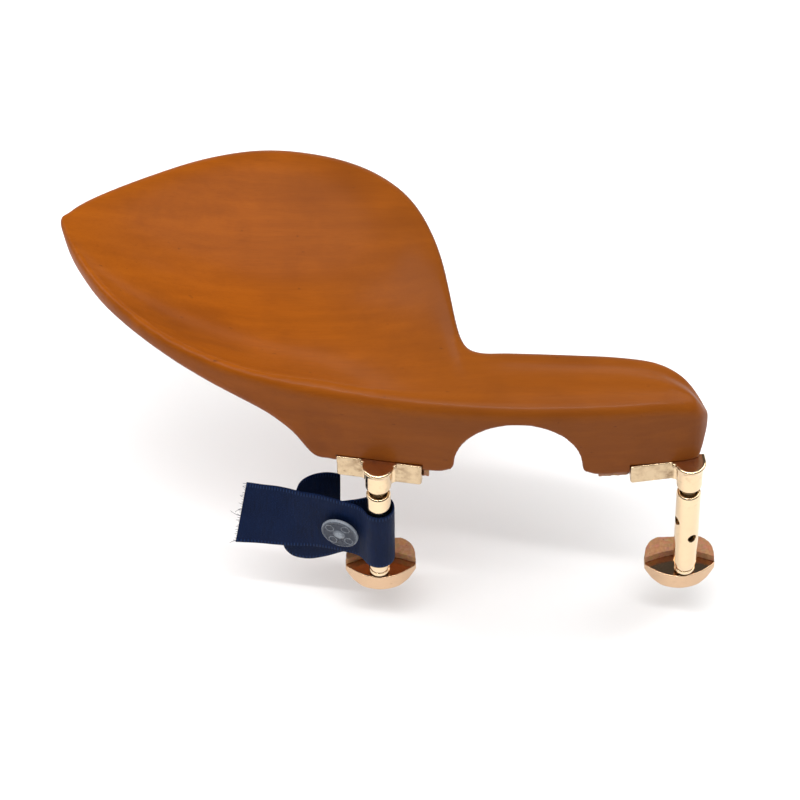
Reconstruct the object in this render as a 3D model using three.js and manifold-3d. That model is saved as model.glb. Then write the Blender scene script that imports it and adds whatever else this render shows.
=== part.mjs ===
// Violin chin rest with a double turnbuckle clamp.
// A dished wooden plate stands on two legs that straddle the tailpiece. Under each leg a metal
// bracket carries a threaded stud, a barrel with opposite-handed threads draws a cork-lined foot
// up against the back of the instrument. A ribbon tag hangs on the left barrel.
//
// Frame, in millimetres: +X to the treble side, +Y towards the scroll, +Z away from the
// instrument's top. The origin lies on the seat plane, under the middle of the arch, level with
// the plate's rear wall.

import * as THREE from "three";
import { mergeVertices } from "three/addons/utils/BufferGeometryUtils.js";
import Module from "manifold-3d";

const wasm = await Module();
wasm.setup();

// ---- driving dimensions -------------------------------------------------------------------

const GAP = 0.3;

const SEAT_CORK = 1.7;
const WOOD_BOTTOM = SEAT_CORK + GAP;
const TIP_X = -88.6;
const TAIL_X = 35.8;
const WALL_RADIUS = 190;
const ARCH_RADIUS = 12.1;
const ARCH_CENTRE_X = 0.15;
const ARCH_CENTRE_Z = 4.4;
const LEG_ROUNDING = 2.8;
const SHELL_THICKNESS = 6.6;
const RIM_THICKNESS = 5.0;
const LEG_DEPTH = 12.6;
const LEG_FLARE = 10;

const FLANGE_THICKNESS = 1.7;
const PLATE_THICKNESS = 1.8;
const PLATE_DEPTH = 10.5;
const BOSS_RADIUS = 2.5;
const BOSS_LIP = 0.55;
const BOSS_EDGE = 0.45;
const BOSS_BOTTOM = -2.1;

const STUD_RADIUS = 1.4;
const STUD_SOCKET_ROOF = 1.2;
const UPPER_STUD_END = -12.6;
const LOWER_STUD_TOP = -17.3;
const BORE_RADIUS = 1.72;
const BARREL_RADIUS = 2.35;
const BARREL_TOP = -4.1;
const BARREL_BOTTOM = -26.4;
const TOMMY_HOLE_RADIUS = 0.9;
const TOMMY_HOLE_Z = [-12.0, -16.2];
const COLLAR_TOP = BARREL_BOTTOM - 0.25;
const COLLAR_BOTTOM = -27.55;

const FOOT_TOP = -28.4;
const FOOT_THICKNESS = 3.7;
const FOOT_HALF_WIDTH = 6.85;
const FOOT_CORK = 1.4;

const SCREW_HEAD_RADIUS = 1.9;
const SCREW_SHANK_RADIUS = 0.9;
const SCREW_LENGTH = 9;

const RIBBON_WIDTH = 15;
const RIBBON_THICKNESS = 0.4;
const SNAP_RADIUS = 3.75;

const CLAMPS = {
  left: { x: -26.4, y: 0.6, footTurn: 3, footShift: 0.3, barrelTurn: 20 },
  right: { x: 32.8, y: 2.5, footTurn: 3, footShift: -0.8, barrelTurn: 28 },
};

// ---- materials ----------------------------------------------------------------------------

function material(color, roughness, metalness, opacity = 1) {
  return new THREE.MeshStandardMaterial({
    color, roughness, metalness, opacity, transparent: opacity < 1,
  });
}

const LOOKS = {
  wood: () => material(0xa85f28, 0.35, 0),
  cork: () => material(0xa87a5c, 0.9, 0),
  gold: () => material(0xe0bf8c, 0.22, 1),
  thread: () => material(0x8a744f, 0.4, 1),
  steel: () => material(0xb9b4a6, 0.35, 1),
  satin: () => material(0x14234b, 0.5, 0),
  clear: () => material(0x8f97a3, 0.2, 0, 0.45),
};

// ---- geometry helpers ---------------------------------------------------------------------

function toManifold(geometry) {
  const bare = geometry.clone();
  bare.deleteAttribute("normal");
  bare.deleteAttribute("uv");
  const merged = mergeVertices(bare, 1e-4);
  return new wasm.Manifold(new wasm.Mesh({
    numProp: 3,
    vertProperties: new Float32Array(merged.attributes.position.array),
    triVerts: new Uint32Array(merged.index.array),
  }));
}

function toGeometry(manifold) {
  const { vertProperties, triVerts } = manifold.getMesh();
  const geometry = new THREE.BufferGeometry();
  geometry.setAttribute("position", new THREE.BufferAttribute(new Float32Array(vertProperties), 3));
  geometry.setIndex(new THREE.BufferAttribute(new Uint32Array(triVerts), 1));
  geometry.computeVertexNormals();
  return geometry;
}

function namedMesh(name, shape, look) {
  const geometry = shape.isBufferGeometry ? shape : toGeometry(shape);
  const mesh = new THREE.Mesh(geometry, LOOKS[look]());
  mesh.name = name;
  return mesh;
}

// A closed body through rings of equal point counts, with a fan over each end. Seen from the
// last ring towards the first, each ring runs anticlockwise.
function loft(rings) {
  const count = rings[0].length;
  const points = rings.flat();
  const middle = (ring) => ring.reduce((sum, p) => sum.add(p), new THREE.Vector3())
    .divideScalar(count);
  points.push(middle(rings[0]), middle(rings[rings.length - 1]));
  const index = [];
  for (let i = 0; i + 1 < rings.length; i++) {
    for (let j = 0; j < count; j++) {
      const a = i * count + j;
      const b = i * count + (j + 1) % count;
      index.push(a, b, a + count, b, b + count, a + count);
    }
  }
  const last = (rings.length - 1) * count;
  for (let j = 0; j < count; j++) {
    const next = (j + 1) % count;
    index.push(points.length - 2, next, j);
    index.push(points.length - 1, last + j, last + next);
  }
  const geometry = new THREE.BufferGeometry().setFromPoints(points);
  geometry.setIndex(index);
  return geometry;
}

// A smooth function through [x, value] points.
function through(points) {
  const at = new THREE.CubicInterpolant(
    points.map((p) => p[0]), points.map((p) => p[1]), 1, new Float64Array(1),
  );
  return (x) => at.evaluate(x)[0];
}

function turned(profile, segments) {
  return new THREE.LatheGeometry(profile.map(([r, z]) => new THREE.Vector2(r, z)), segments)
    .rotateX(Math.PI / 2);
}

function prism(shape, bottom, height, curveSegments = 12) {
  return new THREE.ExtrudeGeometry(shape, { depth: height, bevelEnabled: false, curveSegments })
    .translate(0, 0, bottom);
}

function outline(points) {
  return new THREE.Shape(points.map(([x, y]) => new THREE.Vector2(x, y)));
}

function block(x0, x1, y0, y1, z0, z1) {
  return new THREE.BoxGeometry(x1 - x0, y1 - y0, z1 - z0)
    .translate((x0 + x1) / 2, (y0 + y1) / 2, (z0 + z1) / 2);
}

function smooth(t) {
  const s = THREE.MathUtils.clamp(t, 0, 1);
  return s * s * (3 - 2 * s);
}

const mix = THREE.MathUtils.lerp;

// ---- rest plate ---------------------------------------------------------------------------

function wallY(x) {
  return x * x / (2 * WALL_RADIUS);
}

// Near edge: the rear wall's line, which leaves the wall and sweeps round to the tip.
const nearEdge = through([
  [-88.6, 41.6], [-87, 36.7], [-84, 30.8], [-80, 24.6], [-75, 19.0], [-68, 13.1], [-60, 8.8],
  [-52, 6.0], [-44, 4.3], [-36, 3.2], [-28, 2.06], [-18, 0.85], [-8, 0.17], [0, 0], [10, 0.26],
  [20, 1.05], [28, 2.06], [32.5, 2.9], [34.6, 3.6], [35.7, 5.0], [36.0, 6.6],
]);

// Far edge: the tip, the round head of the plate, the neck and the arm over the tailpiece.
const farEdge = through([
  [-88.6, 43.0], [-87.2, 45.2], [-84, 48.1], [-80, 50.7], [-72, 55.1], [-62, 59.7], [-52, 62.3], [-43, 62.5],
  [-33, 60.8], [-26.5, 57.8], [-21.5, 53.3], [-18, 47.2], [-15.2, 39.2], [-13.4, 30.8],
  [-12.1, 22.6], [-10.6, 18.0], [-8, 16.3], [-3, 16.5], [8, 16.4], [20, 15.9], [26, 15.1],
  [30.5, 13.1], [33.8, 10.0], [35.4, 7.9], [36.0, 6.9],
]);

const nearCrest = through([
  [-88.6, 26.2], [-80, 26.0], [-70, 25.5], [-60, 24.5], [-50, 23.3], [-40, 22.2], [-30, 21.3],
  [-15, 20.9], [0, 20.8], [20, 20.9], [30, 20.4], [34, 18.4], [36.0, 13.5],
]);

const farCrest = through([
  [-88.6, 26.2], [-60, 26.4], [-45, 26.0], [-32, 24.6], [-22, 22.9], [-12, 21.2], [-4, 20.5],
  [10, 20.4], [22, 20.3], [29, 19.4], [33, 17.4], [36.0, 13.5],
]);

// Lower edge of the near wall: up under the plate, down to the leg, level across the legs.
const wallFoot = through([
  [-88.6, 24.4], [-87, 22.2], [-82, 20.9], [-76, 20.6], [-70, 20.0], [-64, 18.4], [-58, 16.4],
  [-53, 14.5], [-48, 12.1], [-44.5, 9.7], [-42, 7.3], [-40.3, 4.4], [-39.2, 2.5], [-38.2, 2.05],
  [-36, 2.0], [0, 2.0], [30, 2.0], [33.4, 2.3], [35, 4.4], [35.7, 7.5], [36.0, 12.3],
]);

const dishDepth = through([
  [-88.6, 0], [-84, 0.9], [-76, 3.3], [-66, 6.0], [-54, 7.8], [-43, 7.4], [-33, 5.8], [-25, 3.9],
  [-18, 2.0], [-12, 0.7], [-6, 0.1], [1, 0], [36.0, 0],
]);

const TOP_STEPS = 13;
const EDGE_STEPS = 6;
const BOTTOM_STEPS = 9;

function topHeight(x, t) {
  const rim = mix(nearCrest(x), farCrest(x), smooth(t));
  const dish = Math.sin(Math.PI * t ** 0.8) ** 1.25;
  const crown = 0.9 * Math.sin(Math.PI * t) * smooth((x + 14) / 14) * smooth((36 - x) / 8);
  return rim - dishDepth(x) * dish + crown;
}

// One closed section of the plate at x, from the near crest over the top and back underneath.
function plateSection(x) {
  const near = nearEdge(x);
  const far = farEdge(x);
  const width = far - near;
  const inCup = smooth((-36 - x) / 14);
  const inHead = smooth((-8 - x) / 8);
  const crestRound = Math.min(mix(2.6, 1.6, inCup), width * 0.3);
  const farRound = Math.min(mix(3.6, 2.6, inHead), width * 0.3);
  const footZ = wallFoot(x);
  const footRound = Math.min(mix(0.5, 3.0, inCup), width * 0.3, (nearCrest(x) - footZ) * 0.5);
  const y0 = near + crestRound;
  const y1 = far - farRound;

  const besideLeg = smooth((-40 - x) / 10);
  const legDepth = mix(LEG_DEPTH, 0, besideLeg);
  const edgeShell = Math.min(nearCrest(x) - footZ, SHELL_THICKNESS + 2);
  const underHeight = (y) => {
    const t = THREE.MathUtils.clamp((y - y0) / (y1 - y0), 0, 1);
    const shell = mix(SHELL_THICKNESS, RIM_THICKNESS, smooth(t));
    const under = topHeight(x, t) - mix(edgeShell, shell, smooth(t * 4));
    const leaving = smooth((y - near - legDepth) / mix(LEG_FLARE, 5, besideLeg));
    return mix(footZ, under, leaving * inHead);
  };

  const ring = [];
  const add = (y, z) => ring.push(new THREE.Vector3(x, y, z));

  for (let i = 0; i <= TOP_STEPS; i++) {
    const t = i / TOP_STEPS;
    add(mix(y0, y1, t), topHeight(x, t));
  }
  const edgeTop = topHeight(x, 1);
  const edgeBottom = underHeight(y1);
  const half = (edgeTop - edgeBottom) / 2;
  const squareness = mix(0.45, 1, inHead);
  for (let i = 1; i < EDGE_STEPS; i++) {
    const angle = Math.PI * (0.5 - i / EDGE_STEPS);
    const rise = Math.sign(Math.sin(angle)) * Math.abs(Math.sin(angle)) ** squareness;
    add(y1 + farRound * Math.cos(angle) ** squareness, edgeBottom + half + half * rise);
  }
  for (let i = 0; i <= BOTTOM_STEPS; i++) {
    const y = mix(y1, near + footRound, i / BOTTOM_STEPS);
    add(y, underHeight(y));
  }
  const crest = topHeight(x, 0);
  const wallTop = crest - Math.min(crestRound * 1.1, (crest - footZ) * 0.45);
  for (let i = 1; i <= 3; i++) {
    const angle = Math.PI / 2 * i / 3;
    add(near + footRound * (1 - Math.sin(angle)), footZ + footRound * (1 - Math.cos(angle)));
  }
  add(near, mix(footZ + footRound, wallTop, 0.5));
  for (let i = 0; i < 4; i++) {
    const angle = Math.PI / 2 * i / 4;
    add(near + crestRound * (1 - Math.cos(angle)), wallTop + (crest - wallTop) * Math.sin(angle));
  }
  return ring.reverse();
}

// Section stations along x: close together at the ends, the leg's corner and the neck.
function plateStations() {
  const spans = [
    [TIP_X, -86.6, 4], [-86.6, -78, 5], [-78, -54, 8], [-54, -43, 4], [-43, -38, 7],
    [-38, -21, 6], [-21, -16, 3], [-16, -8, 10], [-8, 26, 8], [26, 33, 5], [33, TAIL_X, 7],
  ];
  const stations = [TIP_X];
  for (const [from, to, steps] of spans) {
    for (let i = 1; i <= steps; i++) {
      stations.push(mix(from, to, i / steps));
    }
  }
  return stations;
}

// The opening over the tailpiece: a round arch that widens at the legs' lower corners.
function archCutter() {
  const shape = new THREE.Shape();
  const foot = WOOD_BOTTOM;
  const flare = ARCH_RADIUS + LEG_ROUNDING;
  shape.moveTo(-flare - 1, foot - 1);
  shape.lineTo(flare + 1, foot - 1);
  shape.lineTo(flare, foot);
  shape.quadraticCurveTo(ARCH_RADIUS + 0.2, foot + 0.4, ARCH_RADIUS, ARCH_CENTRE_Z);
  shape.absarc(0, ARCH_CENTRE_Z, ARCH_RADIUS, 0, Math.PI, false);
  shape.quadraticCurveTo(-ARCH_RADIUS - 0.2, foot + 0.4, -flare, foot);
  shape.closePath();
  return new THREE.ExtrudeGeometry(shape, { depth: 80, bevelEnabled: false, curveSegments: 20 })
    .rotateX(Math.PI / 2)
    .translate(ARCH_CENTRE_X, 70, 0);
}

// ---- brackets -----------------------------------------------------------------------------

// Each bracket is laid out in its own frame: origin on the stud's axis, x along the wall.
// top is the height of its upper face, wings how far the flange reaches to each side, proud how
// far it stands out of the wall, height its wings' height, fillet the radius between a wing and
// the boss, and screws where it is fastened.
const BRACKETS = {
  left: {
    top: 3.8, wings: [-8.2, 8.2], height: 5.3, proud: 0.35, fillet: 0.95,
    screws: [[-5.2, 6.2], [5.2, 6.2]],
  },
  right: {
    top: 4.5, wings: [-11.4, 1.0], height: 4.7, proud: 0.15, fillet: 1,
    screws: [[-8.6, 6], [-2.6, 8.2]],
  },
};

function wallTurn(x) {
  return Math.asin(x / WALL_RADIUS);
}

function bracketFrame(side) {
  const { x, y } = CLAMPS[side];
  return new THREE.Matrix4().makeTranslation(x, y, 0)
    .multiply(new THREE.Matrix4().makeRotationZ(wallTurn(x)));
}

function flangeFront(side) {
  const { x, y } = CLAMPS[side];
  return wallY(x) - y - BRACKETS[side].proud;
}

// The boss's outline from above, anticlockwise: a round front with a fillet out to each wing. On
// a side without a wing it runs straight back. Every face but the hindmost moves out by grown.
function bossOutline(side, grown) {
  const { wings, fillet } = BRACKETS[side];
  const front = flangeFront(side);
  const back = front + FLANGE_THICKNESS - 0.2;
  const radius = BOSS_RADIUS + grown;
  const bend = fillet - grown;
  const noseStart = Math.asin((fillet - front) / radius);
  const bendSteps = 4;
  const noseSteps = 14;
  const hasWing = (reach) => Math.abs(reach) > BOSS_RADIUS;
  const flank = (sign, reach) => {
    if (!hasWing(reach)) return [[sign * radius, back]];
    const curve = [];
    for (let k = 0; k <= bendSteps; k++) {
      const a = (Math.PI / 2) * (k / bendSteps);
      const x = BOSS_RADIUS + fillet - bend * Math.cos(a);
      curve.push([sign * x, front - fillet + bend * Math.sin(a)]);
    }
    return [...curve, [sign * (BOSS_RADIUS + fillet), back]];
  };
  const from = Math.PI + (hasWing(wings[0]) ? noseStart : 0);
  const to = 2 * Math.PI - (hasWing(wings[1]) ? noseStart : 0);
  const nose = [];
  for (let k = 1; k < noseSteps; k++) {
    const a = mix(from, to, k / noseSteps);
    nose.push([radius * Math.cos(a), radius * Math.sin(a)]);
  }
  return [...flank(-1, wings[0]).reverse(), ...nose, ...flank(1, wings[1])];
}

// The bracket's solid, grown by clearance: used for the bracket and for its seat in the wood.
function bracketBody(side, clearance) {
  const { top, wings, height } = BRACKETS[side];
  const front = flangeFront(side);
  const roof = top + clearance;
  const flange = block(
    wings[0] - clearance, wings[1] + clearance,
    front - clearance, front + FLANGE_THICKNESS + clearance,
    top - height - clearance, roof,
  );
  const plate = block(
    wings[0] - clearance, wings[1] + clearance,
    front, front + PLATE_DEPTH + clearance,
    top - PLATE_THICKNESS - clearance, roof,
  );
  const ring = (z, grown) => bossOutline(side, grown + clearance)
    .map(([x, y]) => new THREE.Vector3(x, y, z));
  const head = loft([
    ring(top - height - clearance, 0), ring(top - 1.9, 0), ring(top - 1.1, 0.4 * BOSS_LIP),
    ring(roof - BOSS_EDGE, BOSS_LIP), ring(roof - 0.3 * BOSS_EDGE, BOSS_LIP - 0.3 * BOSS_EDGE),
    ring(roof, BOSS_LIP - BOSS_EDGE),
  ]);
  const r = BOSS_RADIUS + clearance;
  const boss = turned([
    [0, BOSS_BOTTOM], [r - 0.2, BOSS_BOTTOM], [r, BOSS_BOTTOM + 0.2],
    [r, top - PLATE_THICKNESS], [0, top - PLATE_THICKNESS],
  ], 32);
  return [flange, plate, head, boss].map(toManifold).reduce((body, next) => body.add(next));
}

function screwHole(side, [x, y], headRadius, shankRadius, depth) {
  const sink = BRACKETS[side].top - PLATE_THICKNESS;
  return toManifold(turned([
    [0, sink - 1], [headRadius, sink - 1], [headRadius, sink + 0.1],
    [shankRadius, sink + 1.2], [shankRadius, sink + depth], [0, sink + depth],
  ], 20).translate(x, y, 0));
}

function bracket(side) {
  let body = bracketBody(side, 0);
  const socket = turned([
    [0, BOSS_BOTTOM - 1], [STUD_RADIUS + GAP, BOSS_BOTTOM - 1],
    [STUD_RADIUS + GAP, BRACKETS[side].top - STUD_SOCKET_ROOF],
    [0, BRACKETS[side].top - STUD_SOCKET_ROOF],
  ], 24);
  body = body.subtract(toManifold(socket));
  for (const place of BRACKETS[side].screws) {
    const depth = PLATE_THICKNESS + 2;
    body = body.subtract(
      screwHole(side, place, SCREW_HEAD_RADIUS + GAP, SCREW_SHANK_RADIUS + GAP, depth),
    );
  }
  return toGeometry(body).applyMatrix4(bracketFrame(side));
}

function woodScrew(side, index) {
  const [x, y] = BRACKETS[side].screws[index];
  const sink = BRACKETS[side].top - PLATE_THICKNESS;
  const head = turned([
    [0, sink + 0.12], [SCREW_HEAD_RADIUS, sink + 0.12], [SCREW_HEAD_RADIUS - 0.05, sink + 0.3],
    [SCREW_SHANK_RADIUS, sink + 1.25], [SCREW_SHANK_RADIUS, sink + SCREW_LENGTH - 2],
    [0, sink + SCREW_LENGTH],
  ], 20);
  const slot = block(-2.5, 2.5, -0.3, 0.3, sink - 1, sink + 0.55)
    .rotateZ(0.5 + index);
  return toGeometry(toManifold(head).subtract(toManifold(slot)))
    .translate(x, y, 0)
    .applyMatrix4(bracketFrame(side));
}

function restPlate() {
  let wood = toManifold(loft(plateStations().map(plateSection)));
  wood = wood.subtract(toManifold(archCutter()));
  for (const side of Object.keys(CLAMPS)) {
    const seat = toGeometry(bracketBody(side, GAP)).applyMatrix4(bracketFrame(side));
    wood = wood.subtract(toManifold(seat));
    for (const place of BRACKETS[side].screws) {
      const radius = SCREW_SHANK_RADIUS + GAP;
      const pilot = toGeometry(screwHole(side, place, radius, radius, SCREW_LENGTH + 1))
        .applyMatrix4(bracketFrame(side));
      wood = wood.subtract(toManifold(pilot));
    }
  }
  return wood;
}

// Cork under each leg: behind the bracket's flange, and forward to the wall beside it.
const SEAT_CORKS = {
  left: { span: [-37.2, -16.7], tab: [-17.8, -16.7], setback: 0.5 },
  right: { span: [15.4, 33.4], tab: [15.4, 20.9], setback: 1.4 },
};
const CORK_BEHIND_FLANGE = 4.6;
const CORK_FAR_Y = 12.4;

function seatCork(side) {
  const { span: [x0, x1], tab: [t0, t1], setback } = SEAT_CORKS[side];
  const along = (a, b, distance) => Array.from({ length: 7 }, (_, i) => {
    const x = mix(a, b, i / 6);
    return [x, wallY(x) + distance];
  });
  const behind = side === "left"
    ? along(x0, t0, CORK_BEHIND_FLANGE)
    : along(t1, x1, CORK_BEHIND_FLANGE);
  const tab = along(t0, t1, setback);
  const near = side === "left" ? [...behind, ...tab] : [...tab, ...behind];
  return prism(outline([...near, [x1, CORK_FAR_Y], [x0, CORK_FAR_Y]]), 0, SEAT_CORK);
}

// ---- clamp --------------------------------------------------------------------------------

function upperStud(side) {
  const top = BRACKETS[side].top - STUD_SOCKET_ROOF - GAP;
  const end = UPPER_STUD_END;
  return turned([
    [0, end], [STUD_RADIUS - 0.3, end], [STUD_RADIUS, end + 0.3], [STUD_RADIUS, top], [0, top],
  ], 18);
}

function barrel(turn) {
  const tube = turned([
    [BORE_RADIUS, BARREL_BOTTOM], [2.0, BARREL_BOTTOM], [2.15, BARREL_BOTTOM + 0.5],
    [BARREL_RADIUS, BARREL_BOTTOM + 1.8], [BARREL_RADIUS, BARREL_TOP - 0.3],
    [BARREL_RADIUS - 0.25, BARREL_TOP], [BORE_RADIUS, BARREL_TOP], [BORE_RADIUS, BARREL_BOTTOM],
  ], 28);
  let body = toManifold(tube);
  TOMMY_HOLE_Z.forEach((z, i) => {
    const pin = new THREE.CylinderGeometry(TOMMY_HOLE_RADIUS, TOMMY_HOLE_RADIUS, 8, 16)
      .rotateZ(i * Math.PI / 2)
      .translate(0, 0, z);
    body = body.subtract(toManifold(pin));
  });
  return toGeometry(body).rotateZ(THREE.MathUtils.degToRad(turn));
}

function collar() {
  return turned([
    [BORE_RADIUS, COLLAR_BOTTOM], [1.9, COLLAR_BOTTOM], [2.05, COLLAR_BOTTOM + 0.35],
    [1.95, COLLAR_TOP], [BORE_RADIUS, COLLAR_TOP], [BORE_RADIUS, COLLAR_BOTTOM],
  ], 22);
}

const PIN_RADIUS = 0.7;
const RIVET_RADIUS = 1.0;
const FOOT_BOTTOM = FOOT_TOP - FOOT_THICKNESS;
const COUNTERBORE = 0.8;

// The lower stud ends in a pin that the foot swivels on, riveted over inside a counterbore.
function lowerStud() {
  const head = FOOT_BOTTOM + COUNTERBORE - GAP;
  return turned([
    [0, FOOT_BOTTOM + 0.15], [RIVET_RADIUS - 0.15, FOOT_BOTTOM + 0.15],
    [RIVET_RADIUS, FOOT_BOTTOM + 0.3], [RIVET_RADIUS, head], [PIN_RADIUS, head],
    [PIN_RADIUS, FOOT_TOP + 0.2], [STUD_RADIUS, FOOT_TOP + 0.2], [STUD_RADIUS, LOWER_STUD_TOP - 0.3],
    [STUD_RADIUS - 0.3, LOWER_STUD_TOP], [0, LOWER_STUD_TOP],
  ], 18);
}

const LENS_CORNER_Y = 1.6;
const LENS_FRONT_Y = -1.6;
const CORK_FRONT_Y = 3.7;
const FOOT_SIDE_Y = 3.2;
const FOOT_FAR_Y = 7.1;
const FOOT_FAR_HALF = 4.1;

// Seen from above: an arc across the front through frontY, straight sides, rounded far corners.
function footOutline(half, farHalf, cornerY, frontY) {
  const shape = new THREE.Shape();
  shape.moveTo(-half, cornerY);
  shape.quadraticCurveTo(0, 2 * frontY - cornerY, half, cornerY);
  shape.lineTo(half, FOOT_SIDE_Y);
  shape.quadraticCurveTo(half - 0.3, FOOT_FAR_Y - 0.9, farHalf, FOOT_FAR_Y);
  shape.lineTo(-farHalf, FOOT_FAR_Y);
  shape.quadraticCurveTo(0.3 - half, FOOT_FAR_Y - 0.9, -half, FOOT_SIDE_Y);
  shape.closePath();
  return shape;
}

function foot(shift) {
  const shape = footOutline(FOOT_HALF_WIDTH, FOOT_FAR_HALF, LENS_CORNER_Y, LENS_FRONT_Y);
  const plan = prism(shape, FOOT_BOTTOM, FOOT_THICKNESS, 12);
  const half = FOOT_HALF_WIDTH + 1;
  const front = outline([
    [-3.6, FOOT_BOTTOM], [3.6, FOOT_BOTTOM], [5.4, FOOT_BOTTOM + 0.8], [6.7, FOOT_BOTTOM + 2.2],
    [half, FOOT_BOTTOM + 3.0], [half, FOOT_TOP + 1], [-half, FOOT_TOP + 1],
    [-half, FOOT_BOTTOM + 3.0], [-6.7, FOOT_BOTTOM + 2.2], [-5.4, FOOT_BOTTOM + 0.8],
  ]);
  const dome = new THREE.ExtrudeGeometry(front, { depth: 30, bevelEnabled: false })
    .rotateX(Math.PI / 2)
    .translate(0, 15, 0);
  const well = turned([
    [0, FOOT_BOTTOM - 1], [RIVET_RADIUS + GAP, FOOT_BOTTOM - 1],
    [RIVET_RADIUS + GAP, FOOT_BOTTOM + COUNTERBORE], [PIN_RADIUS + GAP, FOOT_BOTTOM + COUNTERBORE],
    [PIN_RADIUS + GAP, FOOT_TOP + 1], [0, FOOT_TOP + 1],
  ], 24);
  const plate = toGeometry(toManifold(plan).intersect(toManifold(dome))).translate(shift, 0, 0);
  return toManifold(plate).subtract(toManifold(well));
}

function footCork(shift) {
  const half = FOOT_HALF_WIDTH - 0.1;
  const shape = footOutline(half, FOOT_FAR_HALF - 0.1, LENS_CORNER_Y + 0.2, CORK_FRONT_Y);
  return prism(shape, FOOT_TOP + GAP, FOOT_CORK, 8).translate(shift, 0, 0);
}

// ---- ribbon tag ---------------------------------------------------------------------------

const LOOP_RADIUS = BARREL_RADIUS + 0.35 + RIBBON_THICKNESS / 2;
const RIBBON_Z = -16;

// Centre line of the ribbon: x, y, z of its middle, and the lean of its upper edge in x and y.
function ribbonLine() {
  const { x, y } = CLAMPS.left;
  const line = [
    [-53.2, 4.7, RIBBON_Z, 2.4, 2.9], [-49.5, 4.4, RIBBON_Z, 1.4, 2.4],
    [-45.5, 3.9, RIBBON_Z, 0.7, 1.9], [-41.5, 3.35, RIBBON_Z, 0.3, 1.4],
    [-37.6, 2.85, RIBBON_Z, 0, 0.6], [-33.6, 1.75, RIBBON_Z, 0, 0.15],
    [-30.3, 0.6, RIBBON_Z, 0, 0],
  ];
  for (let angle = -135; angle <= 96; angle += 23) {
    const a = THREE.MathUtils.degToRad(angle);
    line.push([x + LOOP_RADIUS * Math.cos(a), y + LOOP_RADIUS * Math.sin(a), RIBBON_Z, 0, 0]);
  }
  line.push(
    [-30.3, 2.75, RIBBON_Z - 0.5, 0, 0], [-33.6, 3.0, RIBBON_Z - 1.7, 0, 0.2],
    [-36.8, 3.9, RIBBON_Z - 4.1, 0.4, 0.6], [-39.9, 4.5, RIBBON_Z - 5.5, 1.2, 0.9],
    [-42.5, 5.0, RIBBON_Z - 5.1, 2.2, 1.0], [-43.8, 6.1, RIBBON_Z - 3.5, 2.8, 0.9],
    [-43.0, 7.3, RIBBON_Z - 1.5, 2.6, 0.7], [-40.6, 7.8, RIBBON_Z, 1.8, 0.5],
    [-37.4, 8.0, RIBBON_Z + 0.8, 0.9, 0.3], [-34.1, 7.7, RIBBON_Z + 0.9, 0.2, 0.2],
  );
  return line;
}

function ribbon() {
  const line = ribbonLine();
  const half = RIBBON_THICKNESS / 2;
  const rings = line.map(([x, y, z, leanX, leanY], i) => {
    const before = line[Math.max(i - 1, 0)];
    const after = line[Math.min(i + 1, line.length - 1)];
    const along = new THREE.Vector2(after[0] - before[0], after[1] - before[1]).normalize();
    const side = new THREE.Vector2(-along.y, along.x).multiplyScalar(half);
    const upright = Math.sqrt(RIBBON_WIDTH ** 2 - leanX ** 2 - leanY ** 2);
    const rise = new THREE.Vector3(leanX, leanY, upright).multiplyScalar(0.5);
    const corner = (s, w) => new THREE.Vector3(x + s * side.x, y + s * side.y, z)
      .addScaledVector(rise, w);
    return [corner(-1, -1), corner(1, -1), corner(1, 1), corner(-1, 1)];
  });
  const strip = toManifold(loft(rings));
  const hole = snapPlaced(new THREE.CylinderGeometry(1.1, 1.1, 6, 16).rotateX(Math.PI / 2)
    .translate(0, 0, -1));
  return strip.subtract(toManifold(hole));
}

// The snap's own frame: origin on the front of the ribbon, z pointing out of the cap.
const SNAP_CENTRE = new THREE.Vector3(-33.6, 1.65, RIBBON_Z - 0.7);
const SNAP_TURN = 0.3;

function snapPlaced(geometry) {
  return geometry.rotateX(Math.PI / 2).rotateZ(-SNAP_TURN)
    .translate(SNAP_CENTRE.x, SNAP_CENTRE.y, SNAP_CENTRE.z);
}

const SNAP_GAP = RIBBON_THICKNESS / 2 + GAP;

function snapCap() {
  const z = SNAP_GAP + 0.25;
  return snapPlaced(turned([
    [0, -2.5], [0.75, -2.5], [0.75, z], [SNAP_RADIUS - 0.2, z], [SNAP_RADIUS, z + 0.3],
    [SNAP_RADIUS - 0.1, z + 0.7], [SNAP_RADIUS - 0.5, z + 0.9], [0, z + 1.0],
  ], 26));
}

function snapSocket() {
  const front = -2.3;
  return snapPlaced(turned([
    [1.1, front - 1.1], [2.6, front - 1.1], [3.0, front - 0.8], [3.0, front], [1.1, front],
    [1.1, front - 1.1],
  ], 22));
}

// ---- assembly -----------------------------------------------------------------------------

function clampGroup(side) {
  const { x, y, footTurn, footShift, barrelTurn } = CLAMPS[side];
  const group = new THREE.Group();
  group.position.set(x, y, 0);
  const swivel = new THREE.Group();
  swivel.rotation.z = THREE.MathUtils.degToRad(footTurn);
  swivel.add(
    namedMesh(`${side}_foot`, foot(footShift), "gold"),
    namedMesh(`${side}_foot_cork`, footCork(footShift), "cork"),
  );
  group.add(
    namedMesh(`${side}_upper_stud`, upperStud(side), "thread"),
    namedMesh(`${side}_barrel`, barrel(barrelTurn), "gold"),
    namedMesh(`${side}_collar`, collar(), "gold"),
    namedMesh(`${side}_lower_stud`, lowerStud(), "thread"),
    swivel,
  );
  return group;
}

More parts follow.
